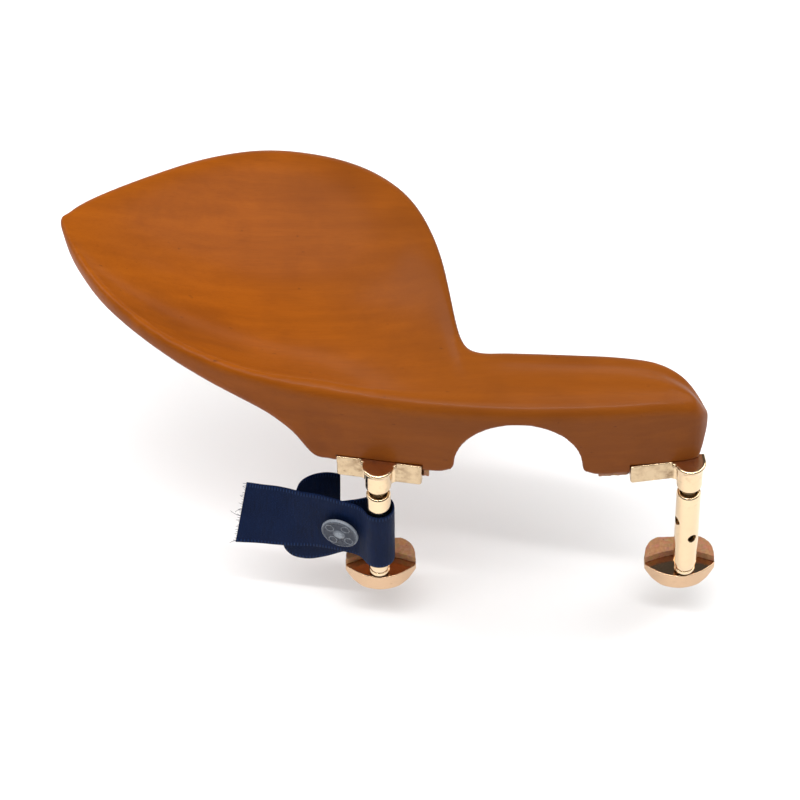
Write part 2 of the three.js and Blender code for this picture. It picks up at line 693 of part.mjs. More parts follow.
const chinRest = new THREE.Group();
chinRest.add(namedMesh("rest_plate", restPlate(), "wood"));
for (const side of ["left", "right"]) {
  const label = side === "left" ? "t_bracket" : "l_bracket";
  chinRest.add(
    namedMesh(`${side}_seat_cork`, seatCork(side), "cork"),
    namedMesh(label, bracket(side), "gold"),
    namedMesh(`${side}_screw_a`, woodScrew(side, 0), "steel"),
    namedMesh(`${side}_screw_b`, woodScrew(side, 1), "steel"),
    clampGroup(side),
  );
}
chinRest.add(
  namedMesh("tag_ribbon", ribbon(), "satin"),
  namedMesh("snap_cap", snapCap(), "clear"),
  namedMesh("snap_socket", snapSocket(), "clear"),
);

export default chinRest;
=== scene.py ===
import math

import bmesh
import bpy
import numpy as np
from mathutils import Matrix, Vector, noise


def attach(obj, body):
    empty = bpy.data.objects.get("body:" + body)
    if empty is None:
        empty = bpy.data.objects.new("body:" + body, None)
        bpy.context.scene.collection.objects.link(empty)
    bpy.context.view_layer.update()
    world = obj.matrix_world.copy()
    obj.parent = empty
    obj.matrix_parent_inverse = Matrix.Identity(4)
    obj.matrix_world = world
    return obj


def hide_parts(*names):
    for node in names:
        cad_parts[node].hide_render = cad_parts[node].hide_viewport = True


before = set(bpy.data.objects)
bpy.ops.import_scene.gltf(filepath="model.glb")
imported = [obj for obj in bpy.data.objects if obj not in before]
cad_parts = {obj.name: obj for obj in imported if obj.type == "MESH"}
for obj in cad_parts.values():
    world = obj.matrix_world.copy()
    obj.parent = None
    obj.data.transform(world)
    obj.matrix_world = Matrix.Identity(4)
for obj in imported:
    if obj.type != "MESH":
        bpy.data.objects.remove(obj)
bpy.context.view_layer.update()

MM = 0.001

# ---- dimensions, in millimetres, in the row frame ---------------------------------------------

GAP = 0.3
WELD_OVERLAP = 0.2

SEAT_CORK = 1.7
WOOD_BOTTOM = SEAT_CORK + GAP
TIP_X, TAIL_X, END_X = -88.6, 35.8, 36.0
WALL_RADIUS = 190.0
ARCH_RADIUS = 12.1
ARCH_CENTRE_X = 0.15
ARCH_CENTRE_Z = 4.4
LEG_ROUNDING = 2.8
SHELL_THICKNESS = 6.6
RIM_THICKNESS = 5.0
LEG_DEPTH = 12.6
LEG_FLARE = 10.0
SEAT_CLEARANCE = 0.12

FLANGE_THICKNESS = 1.7
PLATE_THICKNESS = 1.8
PLATE_DEPTH = 10.5
BOSS_RADIUS = 2.5
BOSS_LIP = 0.55
BOSS_EDGE = 0.45
BOSS_HEAD_HEIGHT = 1.9
BOSS_BOTTOM = -2.1

STUD_RADIUS = 1.4
STUD_SOCKET_ROOF = 1.2
STUD_END_CHAMFER = 0.35
UPPER_STUD_END = -12.6
LOWER_STUD_TOP = -17.3
BORE_RADIUS = 1.72
BARREL_RADIUS = 2.35
BARREL_TOP, BARREL_BOTTOM = -4.1, -26.4
TOMMY_HOLE_RADIUS = 0.9
TOMMY_HOLE_Z = (-12.0, -16.2)
COLLAR_TOP, COLLAR_BOTTOM = -26.65, -27.55
THREAD_PITCH = 0.7
THREAD_DEPTH = 0.2

SCREW_HEAD_RADIUS = 1.9
SCREW_SHANK_RADIUS = 0.9
SCREW_LENGTH = 9

FOOT_TOP = -28.4
FOOT_THICKNESS = 3.7
FOOT_BOTTOM = FOOT_TOP - FOOT_THICKNESS
FOOT_HALF_WIDTH = 6.85
FOOT_FAR_HALF = 4.1
FOOT_SIDE_Y = 3.2
FOOT_FAR_Y = 7.1
FOOT_CORNER_Y, FOOT_FRONT_Y = 1.6, -1.6
CORK_FRONT_Y = 3.7
PIN_RADIUS = 0.7
RIVET_RADIUS = 1.0
COUNTERBORE = 0.8
FOOT_CORK = 1.4

CLAMPS = {
    "left": dict(x=-26.4, y=0.6, foot_turn=3, foot_shift=0.3, barrel_turn=20),
    "right": dict(x=32.8, y=2.5, foot_turn=3, foot_shift=-0.8, barrel_turn=28),
}
BRACKETS = {
    "left": dict(node="t_bracket", top=3.8, wings=(-8.2, 8.2), height=5.3, proud=0.35, fillet=0.95,
                 screws=((-5.2, 6.2), (5.2, 6.2))),
    "right": dict(node="l_bracket", top=4.5, wings=(-11.4, 1.0), height=4.7, proud=0.15, fillet=1,
                  screws=((-8.6, 6.0), (-2.6, 8.2))),
}

RIBBON_WIDTH = 15.0
RIBBON_THICKNESS = 0.34
RIBBON_LOOP = BARREL_RADIUS + 0.55
RIBBON_Z = -16.0
SNAP_CENTRE = Vector((-33.6, 1.65, RIBBON_Z - 0.7))
SNAP_TURN = 0.3
SNAP_RADIUS = 3.75
SNAP_MARK_RADIUS = 0.82
SNAP_MARK_REACH = 2.3


# ---- mesh helpers -----------------------------------------------------------------------------

def smoothstep(t):
    t = np.clip(t, 0, 1)
    return t * t * (3 - 2 * t)


def mix(a, b, t):
    return a + (b - a) * t


def new_object(name, points, faces):
    """A mesh object from points in millimetres."""
    mesh = bpy.data.meshes.new(name)
    mesh.from_pydata((np.asarray(points, float) * MM).tolist(), [], faces)
    mesh.validate()
    obj = bpy.data.objects.new(name, mesh)
    bpy.context.scene.collection.objects.link(obj)
    return obj


def tube_faces(rows, columns):
    """Quads between rows of points that each close on themselves."""
    faces = []
    for i in range(rows - 1):
        a, b = i * columns, (i + 1) * columns
        for j in range(columns):
            k = (j + 1) % columns
            faces.append((a + j, a + k, b + k, b + j))
    return faces


def lofted(name, rings):
    """A closed body through rings of equal point counts, with a fan over each end."""
    rings = np.asarray(rings, float)
    rows, columns = rings.shape[:2]
    points = rings.reshape(-1, 3)
    points = np.vstack([points, rings[0].mean(0), rings[-1].mean(0)])
    faces = tube_faces(rows, columns)
    first, last, end = rows * columns, rows * columns + 1, (rows - 1) * columns
    for j in range(columns):
        k = (j + 1) % columns
        faces.append((first, k, j))
        faces.append((last, end + j, end + k))
    return outward(new_object(name, points, faces))


def outward(obj):
    """Turns a closed mesh's faces outwards."""
    bm = bmesh.new()
    bm.from_mesh(obj.data)
    bmesh.ops.remove_doubles(bm, verts=bm.verts, dist=1e-8)
    bmesh.ops.recalc_face_normals(bm, faces=bm.faces)
    if bm.calc_volume(signed=True) < 0:
        bmesh.ops.reverse_faces(bm, faces=bm.faces)
    bm.to_mesh(obj.data)
    bm.free()
    return obj


def bend(start, handle, end, steps):
    """Points on a short curve that leaves start and reaches end towards the handle."""
    points = []
    for k in range(steps + 1):
        t = k / steps
        weights = (1 - t) ** 2, 2 * t * (1 - t), t * t
        points.append(tuple(np.dot(weights, along) for along in zip(start, handle, end)))
    return points


def eased(points, radius, closed=True, steps=5):
    """A polyline with each corner turned into a short curve that starts radius before it."""
    pts = [np.array(p, float) for p in points]
    count = len(pts)
    out = []
    for i, p in enumerate(pts):
        if not closed and i in (0, count - 1):
            out.append(p)
            continue
        before, after = pts[i - 1], pts[(i + 1) % count]
        to_before, to_after = before - p, after - p
        reach_a = min(radius, np.linalg.norm(to_before) * 0.45)
        reach_b = min(radius, np.linalg.norm(to_after) * 0.45)
        a = p + to_before / np.linalg.norm(to_before) * reach_a
        b = p + to_after / np.linalg.norm(to_after) * reach_b
        out += bend(a, p, b, steps)
    return out


def revolved(name, profile, segments=96, centre=(0, 0), closed=False):
    """A body of revolution about z. profile is (radius, z) points, on the axis at both ends or
    closed on itself."""
    points, rows = [], []
    for r, z in profile:
        if r < 1e-6:
            rows.append([len(points)] * segments)
            points.append((0, 0, z))
            continue
        rows.append(list(range(len(points), len(points) + segments)))
        for j in range(segments):
            a = 2 * math.pi * j / segments
            points.append((r * math.cos(a), r * math.sin(a), z))
    if closed:
        rows.append(rows[0])
    faces = []
    for low, high in zip(rows, rows[1:]):
        for j in range(segments):
            k = (j + 1) % segments
            loop = [low[j], low[k], high[k], high[j]]
            face = [v for n, v in enumerate(loop) if v != loop[n - 1]]
            if len(face) > 2:
                faces.append(face)
    points = np.array(points) + (centre[0], centre[1], 0)
    return outward(new_object(name, points, faces))


def prism(name, outline, bottom, top):
    """An upright prism over an outline in x and y."""
    flat = np.array([(p[0], p[1]) for p in outline])
    low = np.column_stack([flat, np.full(len(flat), bottom)])
    high = np.column_stack([flat, np.full(len(flat), top)])
    return lofted(name, [low, high])


def block(name, low, high):
    outline = [(low[0], low[1]), (high[0], low[1]), (high[0], high[1]), (low[0], high[1])]
    return prism(name, outline, low[2], high[2])


def moved(obj, matrix):
    """Applies a transform whose lengths are millimetres."""
    scaled = matrix.copy()
    scaled.translation = matrix.translation * MM
    obj.data.transform(scaled)
    return obj


def cut(obj, tool, operation="DIFFERENCE"):
    modifier = obj.modifiers.new("cut", "BOOLEAN")
    modifier.operation = operation
    modifier.solver = "EXACT"
    modifier.object = tool
    settle(obj)
    bpy.data.objects.remove(tool)
    return obj


def joined(obj, *others):
    """One object with all the meshes, whose shells may still overlap."""
    bm = bmesh.new()
    for each in (obj, *others):
        bm.from_mesh(each.data)
    bm.to_mesh(obj.data)
    bm.free()
    for each in others:
        bpy.data.objects.remove(each)
    return obj


def settle(obj):
    """Applies the object's modifiers."""
    graph = bpy.context.evaluated_depsgraph_get()
    mesh = bpy.data.meshes.new_from_object(obj.evaluated_get(graph))
    obj.modifiers.clear()
    old = obj.data
    obj.data = mesh
    mesh.name = obj.name
    bpy.data.meshes.remove(old)
    return obj


def remeshed(obj, voxel, smoothing):
    """Welds overlapping shells into one skin and eases every edge by about a voxel."""
    modifier = obj.modifiers.new("remesh", "REMESH")
    modifier.mode = "VOXEL"
    modifier.voxel_size = voxel * MM
    modifier = obj.modifiers.new("smooth", "SMOOTH")
    modifier.factor = 0.5
    modifier.iterations = smoothing
    return settle(obj)


def shade(obj, angle=None):
    obj.data.shade_smooth()
    if angle is not None:
        obj.data.set_sharp_from_angle(angle=math.radians(angle))
    return obj


def through(points):
    """A smooth function through (x, value) points, with its curvature evened out."""
    xs, values = np.array(points, float).T
    last = len(xs) - 1

    def cubic(x):
        i = np.clip(np.searchsorted(xs, x, side="right"), 1, last)
        t0, t1 = xs[i - 1], xs[i]
        before = np.where(i > 1, i - 2, i)
        after = np.where(i < last, i + 1, i - 1)
        half = (t1 - t0) / 2
        wp = half / (t0 - xs[before])
        wn = half / (xs[after] - t1)
        p = (x - t0) / (t1 - t0)
        sp = -wp * p ** 3 + 2 * wp * p ** 2 - wp * p
        s0 = (1 + wp) * p ** 3 + (-1.5 - 2 * wp) * p ** 2 + (-0.5 + wp) * p + 1
        s1 = (-1 - wn) * p ** 3 + (1.5 + wn) * p ** 2 + 0.5 * p
        sn = wn * p ** 3 - wn * p ** 2
        return sp * values[before] + s0 * values[i - 1] + s1 * values[i] + sn * values[after]

    step, spread = 0.1, 0.9
    grid = np.arange(xs[0], xs[-1] + step / 2, step)
    raw = cubic(np.clip(grid, xs[0], xs[-1]))
    reach = int(3 * spread / step)
    weights = np.exp(-0.5 * (np.arange(-reach, reach + 1) * step / spread) ** 2)
    before, after = 2 * raw[0] - raw[reach:0:-1], 2 * raw[-1] - raw[-2:-reach - 2:-1]
    padded = np.concatenate([before, raw, after])
    even = np.convolve(padded, weights / weights.sum(), "valid")
    return lambda x: np.interp(x, grid, even)


# ---- rest plate -------------------------------------------------------------------------------

near_edge = through([
    (-88.6, 41.6), (-87, 36.7), (-84, 30.8), (-80, 24.6), (-75, 19.0), (-68, 13.1), (-60, 8.8),
    (-52, 6.0), (-44, 4.3), (-36, 3.2), (-28, 2.06), (-18, 0.85), (-8, 0.17), (0, 0), (10, 0.26),
    (20, 1.05), (28, 2.06), (32.5, 2.9), (34.6, 3.6), (35.7, 5.0), (36.0, 6.6),
])
far_edge = through([
    (-88.6, 43.0), (-87.2, 45.2), (-84, 48.1), (-80, 50.7), (-72, 55.1), (-62, 59.7), (-52, 62.3),
    (-43, 62.5), (-33, 60.8), (-26.5, 57.8), (-21.5, 53.3), (-18, 47.2), (-15.2, 39.2),
    (-13.4, 30.8), (-12.1, 22.6), (-10.6, 18.0), (-8, 16.3), (-3, 16.5), (8, 16.4), (20, 15.9),
    (26, 15.1), (30.5, 13.1), (33.8, 10.0), (35.4, 7.9), (36.0, 6.9),
])
near_crest = through([
    (-88.6, 26.2), (-80, 26.0), (-70, 25.5), (-60, 24.5), (-50, 23.3), (-40, 22.2), (-30, 21.3),
    (-15, 20.9), (0, 20.8), (20, 20.9), (30, 20.4), (34, 18.4), (36.0, 13.5),
])
far_crest = through([
    (-88.6, 26.2), (-60, 26.4), (-45, 26.0), (-32, 24.6), (-22, 22.9), (-12, 21.2), (-4, 20.5),
    (10, 20.4), (22, 20.3), (29, 19.4), (33, 17.4), (36.0, 13.5),
])
wall_foot = through([
    (-88.6, 24.4), (-87, 22.2), (-82, 20.9), (-76, 20.6), (-70, 20.0), (-64, 18.4), (-58, 16.4),
    (-53, 14.5), (-48, 12.1), (-44.5, 9.7), (-42, 7.3), (-40.3, 4.4), (-39.2, 2.5),
    (-38.2, 2.05), (-36, 2.0), (0, 2.0), (30, 2.0), (33.4, 2.3), (35, 4.4), (35.7, 7.5),
    (36.0, 12.3),
])
dish_depth = through([
    (-88.6, 0), (-84, 0.9), (-76, 3.3), (-66, 6.0), (-54, 7.8), (-43, 7.4), (-33, 5.8),
    (-25, 3.9), (-18, 2.0), (-12, 0.7), (-6, 0.1), (1, 0), (36.0, 0),
])

# How round the section's corners are, along the arm and in the cup.
CREST_ROUND = (2.6, 1.6)
FAR_ROUND = (3.6, 2.6)
WALL_FOOT_ROUND = (0.5, 3.0)
CROWN = 0.9
DISH_LEAN, DISH_FULLNESS = 0.8, 1.25
TOP_STEPS, EDGE_STEPS, BOTTOM_STEPS, CORNER_STEPS, WALL_STEPS = 64, 16, 36, 8, 6


def top_height(x, t):
    rim = mix(near_crest(x), far_crest(x), smoothstep(t))
    dish = np.sin(np.pi * t ** DISH_LEAN) ** DISH_FULLNESS
    on_arm = smoothstep((x + 14) / 14) * smoothstep((END_X - x) / 8)
    return rim - dish_depth(x) * dish + CROWN * np.sin(np.pi * t) * on_arm


def plate_section(x):
    """One closed section of the plate at x, over the top and back underneath."""
    near, far = near_edge(x), far_edge(x)
    width = far - near
    in_cup = smoothstep((-36 - x) / 14)
    in_head = smoothstep((-8 - x) / 8)
    most = width * 0.3
    crest_round = min(mix(*CREST_ROUND, in_cup), most)
    far_round = min(mix(*FAR_ROUND, in_head), most)
    foot_z = wall_foot(x)
    crest = near_crest(x)
    foot_round = min(mix(*WALL_FOOT_ROUND, in_cup), most, (crest - foot_z) * 0.5)
    y0, y1 = near + crest_round, far - far_round
    beside_leg = smoothstep((-40 - x) / 10)
    leg_depth = mix(LEG_DEPTH, 0, beside_leg)
    edge_shell = min(crest - foot_z, SHELL_THICKNESS + 2)

    def under(y):
        t = np.clip((y - y0) / (y1 - y0), 0, 1)
        shell = mix(SHELL_THICKNESS, RIM_THICKNESS, smoothstep(t))
        below = top_height(x, t) - mix(edge_shell, shell, smoothstep(t * 4))
        leaving = smoothstep((y - near - leg_depth) / mix(LEG_FLARE, 5, beside_leg))
        return mix(foot_z, below, leaving * in_head)

    t = np.linspace(0, 1, TOP_STEPS + 1)
    top = np.column_stack([mix(y0, y1, t), top_height(x, t)])
    edge_top, edge_bottom = top_height(x, np.float64(1)), under(y1)
    half = (edge_top - edge_bottom) / 2
    squareness = mix(0.45, 1, in_head)
    angle = np.pi * (0.5 - np.arange(1, EDGE_STEPS) / EDGE_STEPS)
    rise = np.sign(np.sin(angle)) * np.abs(np.sin(angle)) ** squareness
    edge = np.column_stack([
        y1 + far_round * np.cos(angle) ** squareness, edge_bottom + half + half * rise,
    ])
    y = np.linspace(y1, near + foot_round, BOTTOM_STEPS + 1)
    bottom = np.column_stack([y, under(y)])
    wall_top = crest - min(crest_round * 1.1, (crest - foot_z) * 0.45)
    angle = np.pi / 2 * np.arange(1, CORNER_STEPS + 1) / CORNER_STEPS
    toe = np.column_stack([
        near + foot_round * (1 - np.sin(angle)), foot_z + foot_round * (1 - np.cos(angle)),
    ])
    rise = np.linspace(0, 1, WALL_STEPS + 1)[1:-1]
    wall = np.column_stack([
        np.full(WALL_STEPS - 1, near), mix(foot_z + foot_round, wall_top, rise),
    ])
    angle = np.pi / 2 * np.arange(0, CORNER_STEPS) / CORNER_STEPS
    lip = np.column_stack([
        near + crest_round * (1 - np.cos(angle)), wall_top + (crest - wall_top) * np.sin(angle),
    ])
    ring = np.vstack([top, edge, bottom, toe, wall, lip])
    return np.column_stack([np.full(len(ring), x), ring])


def plate_stations():
    """The x of each section, closer together where the shape turns quickly."""
    spans = [
        (TIP_X, -87.4, 10), (-87.4, -80, 16), (-80, -54, 34), (-54, -43, 18), (-43, -38, 24),
        (-38, -21, 20), (-21, -8, 40), (-8, 26, 34), (26, 33, 16), (33, TAIL_X, 24),
    ]
    stations = [TIP_X]
    for start, end, steps in spans:
        stations += [mix(start, end, i / steps) for i in range(1, steps + 1)]
    return stations


def arch_tool():
    """A bar with the arch's section: two rounded leg corners under a semicircle."""
    foot, flare, steps = WOOD_BOTTOM, ARCH_RADIUS + LEG_ROUNDING, 48
    side = bend((flare, foot), (ARCH_RADIUS + 0.2, foot + 0.4), (ARCH_RADIUS, ARCH_CENTRE_Z), 12)
    outline = [(-flare - 1, foot - 1), (flare + 1, foot - 1)] + side
    for k in range(1, steps):
        a = math.pi * k / steps
        outline.append((ARCH_RADIUS * math.cos(a), ARCH_CENTRE_Z + ARCH_RADIUS * math.sin(a)))
    outline += [(-x, z) for x, z in reversed(side)]
    rings = [[(x + ARCH_CENTRE_X, y, z) for x, z in outline] for y in (-10, 70)]
    return lofted("arch_tool", rings)


def bracket_frame(side):
    """The bracket stands on the stud's axis and is turned to follow the curved rear wall."""
    clamp = CLAMPS[side]
    turn = math.asin(clamp["x"] / WALL_RADIUS)
    return Matrix.Translation((clamp["x"], clamp["y"], 0)) @ Matrix.Rotation(turn, 4, "Z")


def flange_front(side):
    """Where the flange's front face lies in the bracket's own frame."""
    clamp = CLAMPS[side]
    return clamp["x"] ** 2 / (2 * WALL_RADIUS) - clamp["y"] - BRACKETS[side]["proud"]


def boss_outline(side, grown):
    """The boss from above: a round front, and a fillet out to each wing or a straight flank."""
    spec = BRACKETS[side]
    front, fillet = flange_front(side), spec["fillet"]
    back = front + FLANGE_THICKNESS - WELD_OVERLAP
    radius, hollow = BOSS_RADIUS + grown, fillet - grown
    winged = [abs(reach) > BOSS_RADIUS for reach in spec["wings"]]

    def flank(sign, has_wing):
        if not has_wing:
            return [(sign * radius, back)]
        curve = []
        for a in np.linspace(0, math.pi / 2, 9):
            x = BOSS_RADIUS + fillet - hollow * math.cos(a)
            curve.append((sign * x, front - fillet + hollow * math.sin(a)))
        return curve + [(sign * (BOSS_RADIUS + fillet), back)]

    start = math.asin((fillet - front) / radius)
    angles = np.linspace(math.pi + start * winged[0], 2 * math.pi - start * winged[1], 49)[1:-1]
    nose = [(radius * math.cos(a), radius * math.sin(a)) for a in angles]
    return flank(-1, winged[0])[::-1] + nose + flank(1, winged[1])


def bracket_parts(side, grown):
    """The bracket's overlapping shells in its own frame, grown by a clearance."""
    spec = BRACKETS[side]
    top, (w0, w1), front = spec["top"], spec["wings"], flange_front(side)
    roof = top + grown
    flange = block(
        "flange", (w0 - grown, front - grown, top - spec["height"] - grown),
        (w1 + grown, front + FLANGE_THICKNESS + grown, roof),
    )
    plate = block(
        "plate", (w0 - grown, front, top - PLATE_THICKNESS - grown),
        (w1 + grown, front + PLATE_DEPTH + grown, roof),
    )
    levels = [(top - spec["height"] - grown, 0)]
    for t in np.linspace(0, 1, 7):
        levels.append((mix(top - BOSS_HEAD_HEIGHT, roof - BOSS_EDGE, t), BOSS_LIP * t * t))
    for a in np.linspace(0, math.pi / 2, 7)[1:]:
        lip = BOSS_LIP - BOSS_EDGE * (1 - math.cos(a))
        levels.append((roof - BOSS_EDGE * (1 - math.sin(a)), lip))
    head = lofted("head", [
        [(x, y, z) for x, y in boss_outline(side, lip + grown)] for z, lip in levels
    ])
    r = BOSS_RADIUS + grown
    profile = eased([
        (0, top - PLATE_THICKNESS), (r, top - PLATE_THICKNESS), (r, BOSS_BOTTOM), (0, BOSS_BOTTOM),
    ], 0.3, closed=False)
    return [flange, plate, head, revolved("boss", profile, 128)]


def rest_plate():
    wood = lofted("chin_plate", [plate_section(x) for x in plate_stations()])
    cut(wood, arch_tool())
    remeshed(wood, voxel=0.45, smoothing=9)
    for side in CLAMPS:
        for tool in bracket_parts(side, SEAT_CLEARANCE):
            cut(wood, moved(tool, bracket_frame(side)))
    return shade(wood, 42)


# ---- clamps -----------------------------------------------------------------------------------

def bevelled(obj, width):
    modifier = obj.modifiers.new("bevel", "BEVEL")
    modifier.width = width * MM
    modifier.segments = 4
    modifier.limit_method = "ANGLE"
    return settle(obj)


def bracket(side):
    spec = BRACKETS[side]
    flange, *others = bracket_parts(side, 0)
    body = joined(bevelled(flange, width=0.42), *others)
    remeshed(body, voxel=0.085, smoothing=10)
    wide, roof = STUD_RADIUS + GAP, spec["top"] - STUD_SOCKET_ROOF
    socket = revolved("socket", [
        (0, BOSS_BOTTOM - 1), (wide, BOSS_BOTTOM - 1), (wide, roof), (0, roof),
    ], 48)
    cut(body, socket)
    sink = spec["top"] - PLATE_THICKNESS
    head, shank = SCREW_HEAD_RADIUS + GAP, SCREW_SHANK_RADIUS + GAP
    for x, y in spec["screws"]:
        hole = revolved("hole", [
            (0, sink - 1), (head, sink - 1), (head, sink + 0.1), (shank, sink + 1.2),
            (shank, sink + 4), (0, sink + 4),
        ], 48, (x, y))
        cut(body, hole)
    body.name = f"{side}_bracket_plated"
    # Only the wings carry grime and painted shade, most of all next to the boss.
    grime_and_shade = body.data.attributes.new("grime_and_shade", "FLOAT", "POINT")
    for v in body.data.vertices:
        reach = abs(v.co.x) / MM
        out = smoothstep((reach - 2.9) / 0.6)
        grime_and_shade.data[v.index].value = float(out * mix(1, 0.35, smoothstep((reach - 3.6) / 2.2)))
    moved(body, bracket_frame(side))
    return shade(body, 50)


def wood_screw(side, index):
    x, y = BRACKETS[side]["screws"][index]
    sink = BRACKETS[side]["top"] - PLATE_THICKNESS
    wide, shank = SCREW_HEAD_RADIUS, SCREW_SHANK_RADIUS
    head = revolved(f"{side}_wood_screw_{index + 1}", eased([
        (0, sink + 0.12), (wide, sink + 0.12), (wide - 0.05, sink + 0.32), (shank, sink + 1.25),
        (shank, sink + SCREW_LENGTH - 2), (0, sink + SCREW_LENGTH),
    ], 0.1, closed=False, steps=3), 48)
    slot = moved(block("slot", (-2.5, -0.3, sink - 1), (2.5, 0.3, sink + 0.55)),
                 Matrix.Rotation(0.5 + index, 4, "Z"))
    cut(head, slot)
    moved(head, bracket_frame(side) @ Matrix.Translation((x, y, 0)))
    return shade(head, 35)


def turned_stud(name, profile, thread, centre, hand):
    """A stud with a helical thread between the two heights in thread. The hand is 1 or -1."""
    segments = 48
    low, high = profile[0][1], profile[-1][1]
    heights = sorted({round(z, 4) for _, z in profile}
                     | {round(z, 4) for z in np.arange(low, high, THREAD_PITCH / 10)})
    radii = np.interp(heights, [z for _, z in profile], [r for r, _ in profile])
    rings = []
    for z, r in zip(heights, radii):
        cover = smoothstep((z - thread[0]) / 0.5) * smoothstep((thread[1] - z) / 0.5)
        ring = []
        for j in range(segments):
            a = 2 * math.pi * j / segments
            phase = (z / THREAD_PITCH + hand * a / (2 * math.pi)) % 1
            groove = THREAD_DEPTH * min(1, 1.25 * abs(2 * phase - 1)) * cover
            rr = r - groove
            ring.append((centre[0] + rr * math.cos(a), centre[1] + rr * math.sin(a), z))
        rings.append(ring)
    return shade(lofted(name, rings), 60)


def upper_stud(side):
    clamp = CLAMPS[side]
    top = BRACKETS[side]["top"] - STUD_SOCKET_ROOF - GAP
    end = UPPER_STUD_END
    return turned_stud(
        f"{side}_upper_threaded_stud",
        [(STUD_RADIUS - STUD_END_CHAMFER, end), (STUD_RADIUS, end + 0.4), (STUD_RADIUS, top)],
        thread=(end - 0.1, top - 0.5), centre=(clamp["x"], clamp["y"]), hand=1,
    )


def lower_stud(side):
    clamp = CLAMPS[side]
    head, end = FOOT_BOTTOM + COUNTERBORE - GAP, LOWER_STUD_TOP
    return turned_stud(
        f"{side}_lower_threaded_stud",
        [(RIVET_RADIUS - 0.2, FOOT_BOTTOM + 0.15), (RIVET_RADIUS, FOOT_BOTTOM + 0.3),
         (RIVET_RADIUS, head), (PIN_RADIUS, head + 0.02), (PIN_RADIUS, FOOT_TOP + 0.2),
         (STUD_RADIUS, FOOT_TOP + 0.22), (STUD_RADIUS, end - STUD_END_CHAMFER),
         (STUD_RADIUS - STUD_END_CHAMFER, end)],
        thread=(FOOT_TOP + 0.9, end + 0.1), centre=(clamp["x"], clamp["y"]), hand=-1,
    )


def barrel(side):
    clamp = CLAMPS[side]
    r = BARREL_RADIUS
    profile = eased([
        (BORE_RADIUS, BARREL_BOTTOM), (1.98, BARREL_BOTTOM), (2.14, BARREL_BOTTOM + 0.55),
        (r, BARREL_BOTTOM + 1.9), (r, BARREL_TOP - 0.35), (r - 0.22, BARREL_TOP),
        (BORE_RADIUS, BARREL_TOP),
    ], 0.16, steps=4)
    body = revolved(f"{side}_turnbuckle_barrel", profile, 128, closed=True)
    hole, reach, flare = TOMMY_HOLE_RADIUS, r - 0.16, 0.42
    for i, z in enumerate(TOMMY_HOLE_Z):
        level = Matrix.Translation((0, 0, z)) @ Matrix.Rotation(i * math.pi / 2, 4, "Z")
        for end in (-1, 1):
            pin = revolved("pin", [
                (0, 0), (hole, 0), (hole, reach), (hole + flare, reach + flare), (0, reach + flare),
            ], 40)
            cut(body, moved(pin, level @ Matrix.Rotation(end * math.pi / 2, 4, "Y")))
    moved(body, Matrix.Translation((clamp["x"], clamp["y"], 0))
          @ Matrix.Rotation(math.radians(clamp["barrel_turn"]), 4, "Z"))
    return shade(body, 32)


def collar(side):
    clamp = CLAMPS[side]
    profile = eased([
        (BORE_RADIUS, COLLAR_BOTTOM), (1.92, COLLAR_BOTTOM), (2.05, COLLAR_BOTTOM + 0.4),
        (2.0, COLLAR_BOTTOM + 0.8), (1.94, COLLAR_TOP), (BORE_RADIUS, COLLAR_TOP),
    ], 0.12, steps=3)
    body = revolved(f"{side}_turned_collar", profile, 96, (clamp["x"], clamp["y"]), closed=True)
    return shade(body, 45)


def foot_outline(half, far_half, corner_y, front_y):
    """The foot from above: a bowed front, straight sides and round far corners."""
    front = bend((-half, corner_y), (0, 2 * front_y - corner_y), (half, corner_y), 40)
    corner = bend((half, FOOT_SIDE_Y), (half - 0.3, FOOT_FAR_Y - 0.9), (far_half, FOOT_FAR_Y), 12)
    return front + corner + [(-x, y) for x, y in reversed(corner)]


def foot_frame(side):
    """The swivel's frame, and how far along it the foot sits to one side."""
    clamp = CLAMPS[side]
    turn = Matrix.Rotation(math.radians(clamp["foot_turn"]), 4, "Z")
    return Matrix.Translation((clamp["x"], clamp["y"], 0)) @ turn, clamp["foot_shift"]


def foot(side):
    frame_matrix, shift = foot_frame(side)
    outline = foot_outline(FOOT_HALF_WIDTH, FOOT_FAR_HALF, FOOT_CORNER_Y, FOOT_FRONT_Y)
    body = prism(f"{side}_plated_foot", outline, FOOT_BOTTOM, FOOT_TOP)
    half, b = FOOT_HALF_WIDTH + 1, FOOT_BOTTOM
    front = [(-3.6, b), (3.6, b), (5.4, b + 0.8), (6.7, b + 2.2), (half, b + 3.0),
             (half, FOOT_TOP + 1), (-half, FOOT_TOP + 1), (-half, b + 3.0), (-6.7, b + 2.2),
             (-5.4, b + 0.8)]
    tool = lofted("dome", [[(x, y, z) for x, z in front] for y in (-15, 15)])
    cut(body, tool, "INTERSECT")
    remeshed(body, voxel=0.12, smoothing=8)
    moved(body, Matrix.Translation((shift, 0, 0)))
    wide, narrow, ledge = RIVET_RADIUS + GAP, PIN_RADIUS + GAP, b + COUNTERBORE
    well = revolved("well", [
        (0, b - 1), (wide, b - 1), (wide, ledge), (narrow, ledge), (narrow, FOOT_TOP + 1),
        (0, FOOT_TOP + 1),
    ], 48)
    cut(body, well)
    return shade(moved(body, frame_matrix), 55)


def cork_slab(name, outline, bottom, top, seed):
    """A cork pad whose cut edges are ragged and whose faces are a little uneven."""
    body = prism(name, outline, bottom, top)
    remeshed(body, voxel=0.16, smoothing=3)
    for v in body.data.vertices:
        p = v.co / MM + Vector((seed, 0, 0))
        coarse = noise.noise(p * 0.8) * 0.05
        fine = noise.noise(p * 3.1) * 0.045
        v.co += v.normal * (min(coarse + fine, 0.06) - 0.03) * MM
    return shade(body)


